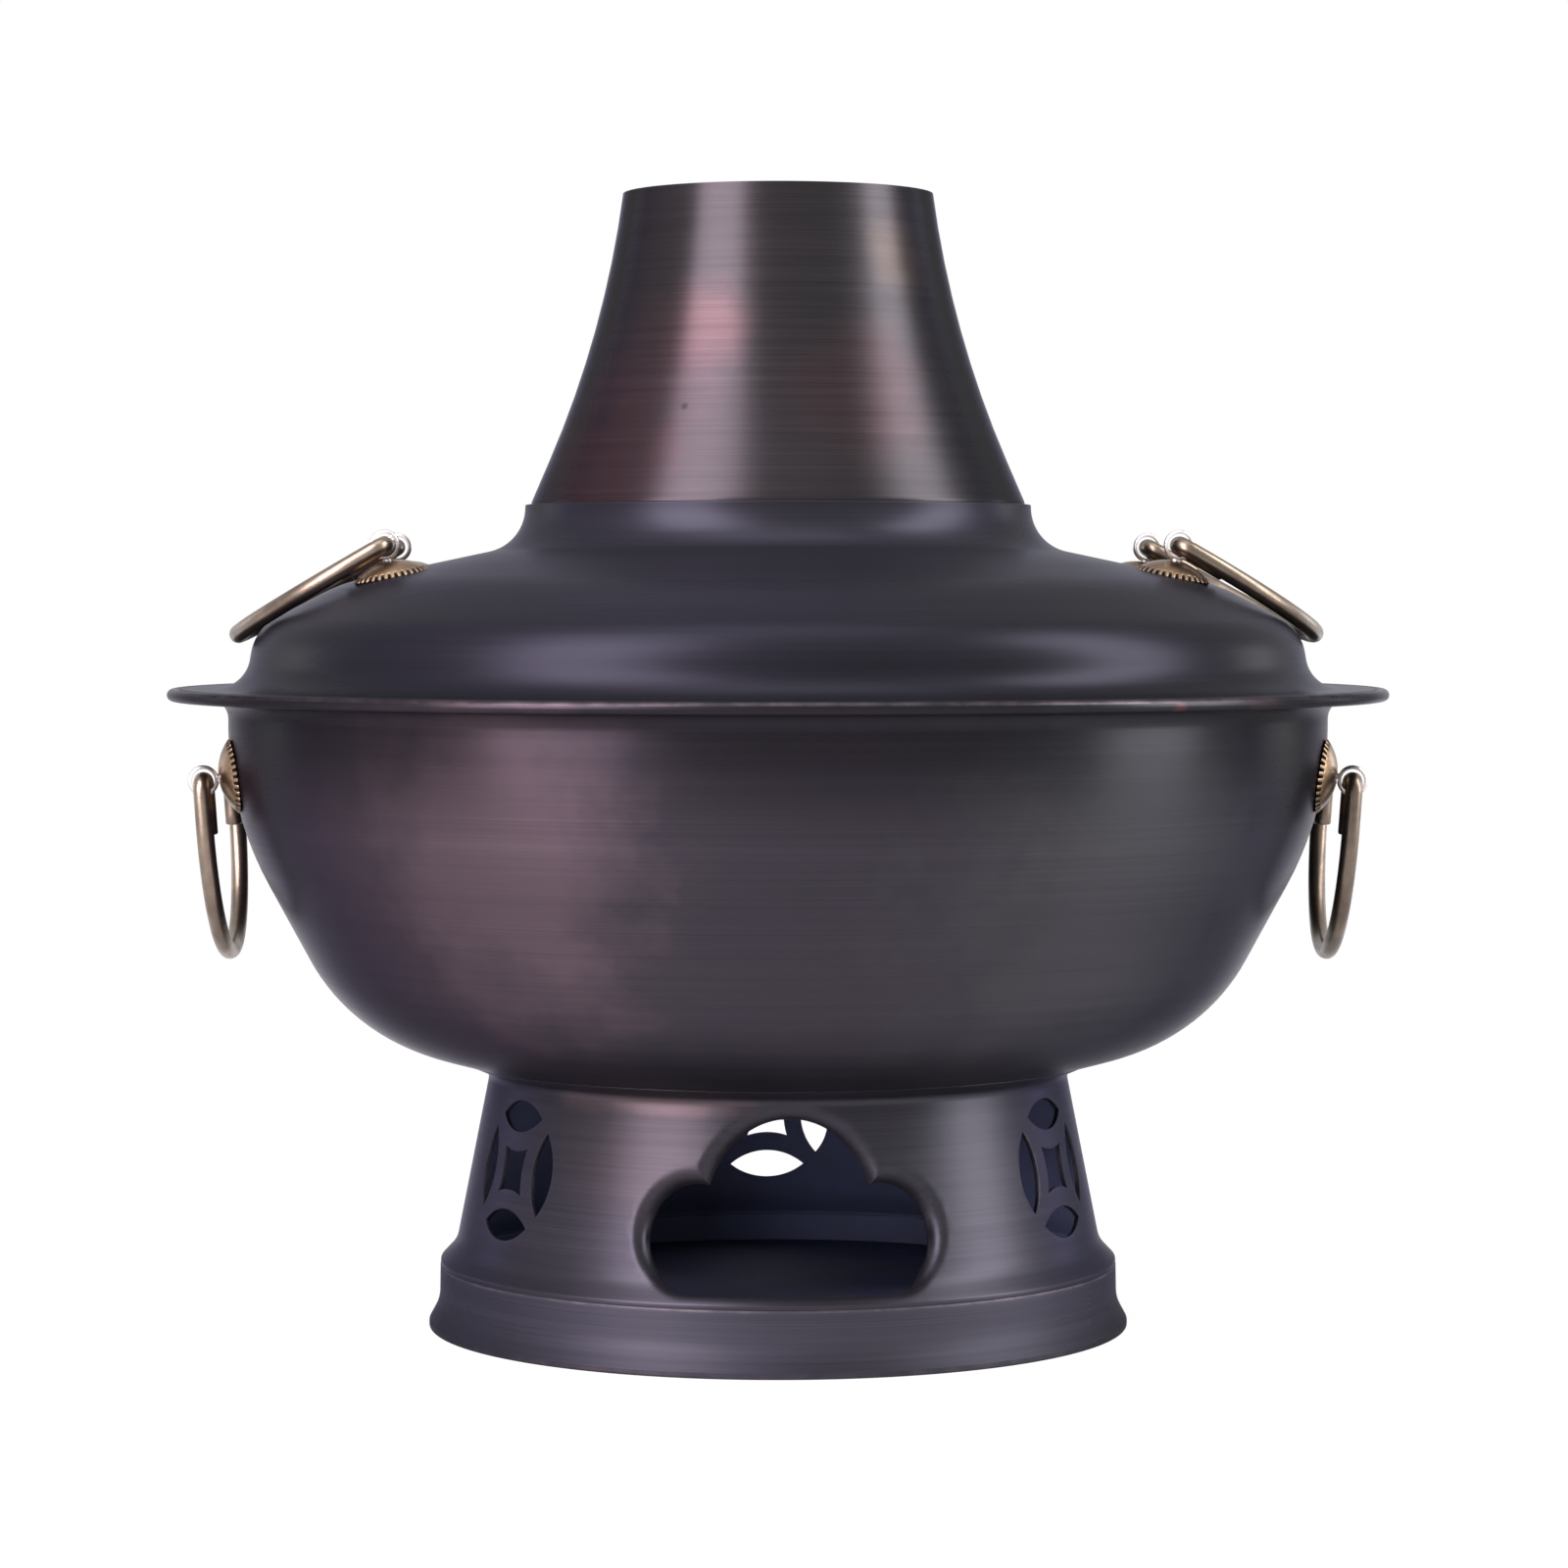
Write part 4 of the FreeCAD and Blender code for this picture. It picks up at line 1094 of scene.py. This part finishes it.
def rosetteMesh():
    # a smooth domed washer whose rim is cut into rounded teeth, turned down to the wall
    s = rosetteShape
    bm = bmesh.new()
    ball = (s["radius"] ** 2 + s["height"] ** 2) / (2 * s["height"])
    hole = pinShape["shank"] / 2 + s["holeRoom"]
    points = []
    for index in range(s["rings"] + 1):
        radius = hole + (s["radius"] - hole) * (index / s["rings"]) ** 0.6
        points.append(Vector((radius, math.sqrt(ball ** 2 - radius ** 2) - ball + s["height"])) * mm)
    spinLine(bm, points, s["teeth"] * s["perTooth"])
    shares = {}
    for vert in bm.verts:
        radius = Vector((vert.co.x, vert.co.y)).length / mm
        share = max(0.0, (radius / s["radius"] - s["bare"]) / (1 - s["bare"]))
        wave = abs(math.sin(math.atan2(vert.co.y, vert.co.x) * s["teeth"] / 2))     # 1 on a tooth
        gap = (1 - wave) ** 1.2
        shares[vert] = (share, gap)
        vert.co.z -= s["dip"] * mm * gap * share
        vert.co.x *= 1 - s["notch"] * gap * share ** 1.5
        vert.co.y *= 1 - s["notch"] * gap * share ** 1.5
    for face in bm.faces:   # rubbed teeth, and painted shade in the gaps between them
        share = sum(shares[v][0] for v in face.verts) / len(face.verts)
        gap = sum(shares[v][1] for v in face.verts) / len(face.verts)
        if share > s["rubbedFrom"]:
            face.material_index = 2 if gap > s["darkWidth"] and share > s["darkFrom"] else 1
    bmesh.ops.recalc_face_normals(bm, faces=bm.faces)
    if sum(f.normal.z for f in bm.faces) < 0:
        bmesh.ops.reverse_faces(bm, faces=bm.faces)
    return bm


def eyeMesh(wall):
    # a split pin along +Z: half-round wire bent to a ring, two legs, their ends turned out
    s, p = handleShape, pinShape
    bm = bmesh.new()
    halfWidth, strap = s["eyeWidth"] / 2 * mm, s["eyeStrap"] * mm
    verts = []
    for index in range(p["domeSides"] + 1):      # domed outside, flat inside
        angle = math.pi * index / p["domeSides"]
        out = (math.sin(angle) ** 0.8 - 0.5) * strap
        verts.append(bm.verts.new((0, math.cos(angle) * halfWidth, eyeRise * mm + eyeMiddle * mm + out)))
    edges = [bm.edges.new(pair) for pair in zip(verts, verts[1:] + verts[:1])]
    bmesh.ops.spin(bm, geom=verts + edges, cent=Vector((0, 0, eyeRise * mm)), axis=(0, 1, 0), dvec=origin,
                   angle=2 * math.pi, steps=p["eyeSteps"], use_merge=True, use_duplicate=False)
    top = eyeRise - eyeMiddle - p["sink"]
    radius, slit = p["shank"] / 2, p["slit"] / 2
    bendHeight = wall + p["gap"] - p["bend"]
    for side in (-1, 1):
        ring = []
        for index in range(p["legSides"] + 1):
            angle = -math.pi / 2 + math.pi * index / p["legSides"]
            x, y = side * (slit + math.cos(angle) * (radius - slit)), math.sin(angle) * radius
            ring.append(bm.verts.new((x * mm, y * mm, top * mm)))
        loop = [bm.edges.new(pair) for pair in zip(ring, ring[1:] + ring[:1])]
        bmesh.ops.holes_fill(bm, edges=loop, sides=0)
        loop = pushLoop(bm, loop, Vector((0, 0, -(top + bendHeight) * mm)), 3)
        hinge = Vector((side * (radius + p["bend"]), 0, -bendHeight)) * mm
        loop = bendLoop(bm, loop, hinge, -side * math.pi / 2, p["bendSteps"], "Y")
        loop = pushLoop(bm, loop, Vector((side * (p["clinch"] - radius - 2 * p["bend"]) * mm, 0, 0)), 3)
        bmesh.ops.holes_fill(bm, edges=loop, sides=0)
    bmesh.ops.remove_doubles(bm, verts=bm.verts, dist=1e-7)
    bmesh.ops.recalc_face_normals(bm, faces=bm.faces)
    return bm


def standUp(axis, normal):
    # turns +Z to a wall's outward direction and +Y to the hinge line
    out = normal.normalized()
    side = (axis - out * axis.dot(out)).normalized()
    return Matrix((side.cross(out), side, out)).transposed().to_4x4()


def bowlSeat():
    # radius, height and lean of the bowl's wall where its rosettes sit
    s = bowlShape
    side = radii["rim"] - s["rimWidth"]
    height = levels["seat"] - handleShape["bowlDrop"]
    sideHeight = levels["seat"] - s["neckHeight"]
    turn = math.atan2(s["sideIn"], s["sideRise"])
    lean = math.asin(max(sideHeight + s["sideBend"] * math.tan(turn / 2) - height, 0) / s["sideBend"])
    return side - s["sideBend"] * (1 - math.cos(lean)), height, -lean


def lidSeat():
    # the same on the lid's slope
    s = lidShape
    inwards = handleShape["lidInwards"]
    collar = radii["chimney"] + fits["collar"] + walls["lid"]
    shoulder = radii["rim"] - bowlShape["rimWidth"] - s["brimIn"] - s["hipIn"] - s["shoulderIn"]
    slope = s["slopeRise"] / (shoulder - collar)
    height = levels["seat"] + s["hipRise"] + s["shoulderRise"] + slope * inwards
    return shoulder - inwards, height, math.pi / 2 - math.atan(slope)


joints = {j["child"]: j for j in frame["joints"]}


def makeHandleSet(prefix, body, seat, halfSpan, lift):
    # a handle on either side of the pot, each with two rosettes and their eyes
    seatRadius, seatHeight, lean = seat
    swing = math.asin(halfSpan / (seatRadius + eyeRise * math.cos(lean)))
    domeWall = ("SOLIDIFY", {"thickness": rosetteShape["wall"] * mm, "offset": -1})
    for side in ("right", "left"):
        handleNode = "_".join((prefix, side, "handle"))
        hinge = Vector(joints[handleNode]["pos_m"])
        azimuth = math.atan2(hinge.y, hinge.x)
        handle = bailMesh(halfSpan)
        hung = (Matrix.Translation(hinge) @ Matrix.Rotation(azimuth, 4, "Z")
                @ Matrix.Rotation(-math.radians(lift), 4, "Y"))
        bmesh.ops.transform(handle, matrix=hung, verts=handle.verts)
        addPiece(prefix + side.title() + "Handle", handle, wireBrass, handleNode, "handle_brass", handleNode)
        for where, sign in (("front", -1), ("back", 1)):
            angle = azimuth + (sign if side == "right" else -sign) * swing
            x, y, level = math.cos(angle), math.sin(angle), math.cos(lean)
            foot = Vector((seatRadius * x, seatRadius * y, seatHeight)) * mm
            line = Vector((-math.sin(azimuth), math.cos(azimuth), 0))
            place = Matrix.Translation(foot) @ standUp(line, Vector((x * level, y * level, math.sin(lean))))
            stem = "_".join((prefix, side, where))
            name = prefix + side.title() + where.title()
            rosette = rosetteMesh()
            bmesh.ops.transform(rosette, matrix=place, verts=rosette.verts)
            dome = addPiece(name + "Rosette", rosette, [rosetteBrass, toothBrass, gapShadeBrass], body,
                            "trim_brass", stem + "_rosette", sharp=55)
            finished(dome, domeWall, sharp=55)
            eye = eyeMesh(walls[prefix])
            bmesh.ops.transform(eye, matrix=place, verts=eye.verts)
            addPiece(name + "Eye", eye, eyeBrass, body, "trim_brass", stem + "_eye")


makeHandleSet("bowl", "root", bowlSeat(), handleShape["bowlHalfSpan"], -handleShape["bowlLean"])
makeHandleSet("lid", "lid", lidSeat(), handleShape["lidHalfSpan"], 90 - handleShape["lidLying"])
print("handles ready")


stageLook = {"floorSize": 8.0, "floorGrey": 0.86, "floorGlow": 0.93, "fadeFrom": 0.35, "fadeTo": 1.1,
             "mirrorGlow": 0.5, "fill": 0.4}


def seenDirectly(tree):
    # 1 for what the camera, a reflection or glass sees, 0 for light that falls on the pot
    path = tree.nodes.new("ShaderNodeLightPath")
    total = path.outputs["Is Camera Ray"]
    for name in ("Is Glossy Ray", "Is Transmission Ray"):
        add = tree.nodes.new("ShaderNodeMath")
        add.operation = "MAXIMUM"
        tree.links.new(total, add.inputs[0])
        tree.links.new(path.outputs[name], add.inputs[1])
        total = add.outputs[0]
    return total


def makeFloor():
    bm = bmesh.new()
    bmesh.ops.create_grid(bm, x_segments=1, y_segments=1, size=stageLook["floorSize"] / 2)
    mesh = bpy.data.meshes.new("studioFloor")
    bm.to_mesh(mesh)
    bm.free()
    floor = bpy.data.objects.new("studioFloor", mesh)
    bpy.context.scene.collection.objects.link(floor)
    look = stageLook
    recipe = Recipe("studioFloor")
    cloth = recipe.fill(recipe.node("ShaderNodeBsdfDiffuse"), {"Color": (*[look["floorGrey"]] * 3, 1)})[0]
    glow = recipe.node("ShaderNodeEmission").outputs[0]
    away = recipe.length(recipe.place())
    fade = recipe.ramp(away, look["fadeFrom"], look["fadeTo"], look["floorGlow"], 1.0)
    path = recipe.node("ShaderNodeLightPath").outputs
    mirrored = recipe.times(path["Is Glossy Ray"], look["mirrorGlow"])
    share = recipe.maths("MAXIMUM", recipe.times(path["Is Camera Ray"], fade),
                         recipe.maths("MAXIMUM", mirrored, path["Is Transmission Ray"]))
    mixed = recipe.fill(recipe.node("ShaderNodeMixShader"), {0: share, 1: cloth, 2: glow})[0]
    recipe.feed(recipe.out.inputs["Surface"], mixed)
    mesh.materials.append(recipe.material)


def makeWorld():
    world = bpy.data.worlds.new("studio")
    bpy.context.scene.world = world
    world.use_nodes = True
    tree = world.node_tree
    tree.nodes.clear()
    out = tree.nodes.new("ShaderNodeOutputWorld")
    back = tree.nodes.new("ShaderNodeBackground")
    span = tree.nodes.new("ShaderNodeMapRange")
    tree.links.new(seenDirectly(tree), span.inputs["Value"])
    span.inputs["To Min"].default_value = stageLook["fill"]
    span.inputs["To Max"].default_value = 1.0
    back.inputs["Color"].default_value = (1, 1, 1, 1)
    tree.links.new(span.outputs[0], back.inputs["Strength"])
    tree.links.new(back.outputs[0], out.inputs["Surface"])


softboxes = {
    "keyLeft": {"azimuth": -43, "distance": 1.9, "height": 1.25, "size": (1.25, 2.6), "power": 150,
                "colour": (1.0, 0.91, 0.97)},
    "fillRight": {"azimuth": 80, "distance": 2.1, "height": 1.25, "size": (1.0, 2.6), "power": 115,
                  "colour": (1.0, 0.98, 1.0)},
    "rimLeft": {"azimuth": -122, "distance": 2.2, "height": 0.4, "size": (0.5, 0.8), "power": 4,
                "colour": (0.92, 0.94, 1.0)},
    "rimRight": {"azimuth": 122, "distance": 2.2, "height": 0.4, "size": (0.5, 0.8), "power": 8,
                 "colour": (0.92, 0.94, 1.0)},
    "top": {"azimuth": 0, "distance": 0.3, "height": 2.4, "size": (1.4, 1.4), "power": 20,
            "colour": (0.95, 0.96, 1.0)},
}


def makeLights():
    aim = (cadLow + cadHigh) / 2
    for name, s in softboxes.items():
        light = bpy.data.lights.new(name, "AREA")
        light.shape = "RECTANGLE"
        light.size, light.size_y = s["size"]
        light.energy = s["power"]
        light.color = s["colour"]
        lamp = bpy.data.objects.new(name, light)
        turn = math.radians(s["azimuth"])
        x, y = s["distance"] * math.sin(turn), -s["distance"] * math.cos(turn)
        lamp.location = (x, y, s["height"])
        lamp.rotation_euler = (aim - lamp.location).to_track_quat("-Z", "Y").to_euler()
        lamp.visible_camera = False
        bpy.context.scene.collection.objects.link(lamp)


cameraSet = {"distance": 1.330, "height": 0.21263, "aside": 0.0017, "pitch": 2.437, "focal": 4700.0,
             "frame": 1600.0, "sensor": 36.0, "nearest": 0.05, "farthest": 30}


def makeCamera():
    s = cameraSet
    data = bpy.data.cameras.new("camera")
    data.sensor_width = s["sensor"]
    data.lens = s["focal"] / s["frame"] * s["sensor"]
    data.clip_start, data.clip_end = s["nearest"], s["farthest"]
    camera = bpy.data.objects.new("camera", data)
    camera.location = (s["aside"], -s["distance"], s["height"])
    camera.rotation_euler = (math.radians(90 - s["pitch"]), 0, 0)
    bpy.context.scene.collection.objects.link(camera)
    bpy.context.scene.camera = camera


makeFloor()
makeWorld()
makeLights()
makeCamera()
bpy.context.scene.view_settings.view_transform = "Standard"
print("studio ready")
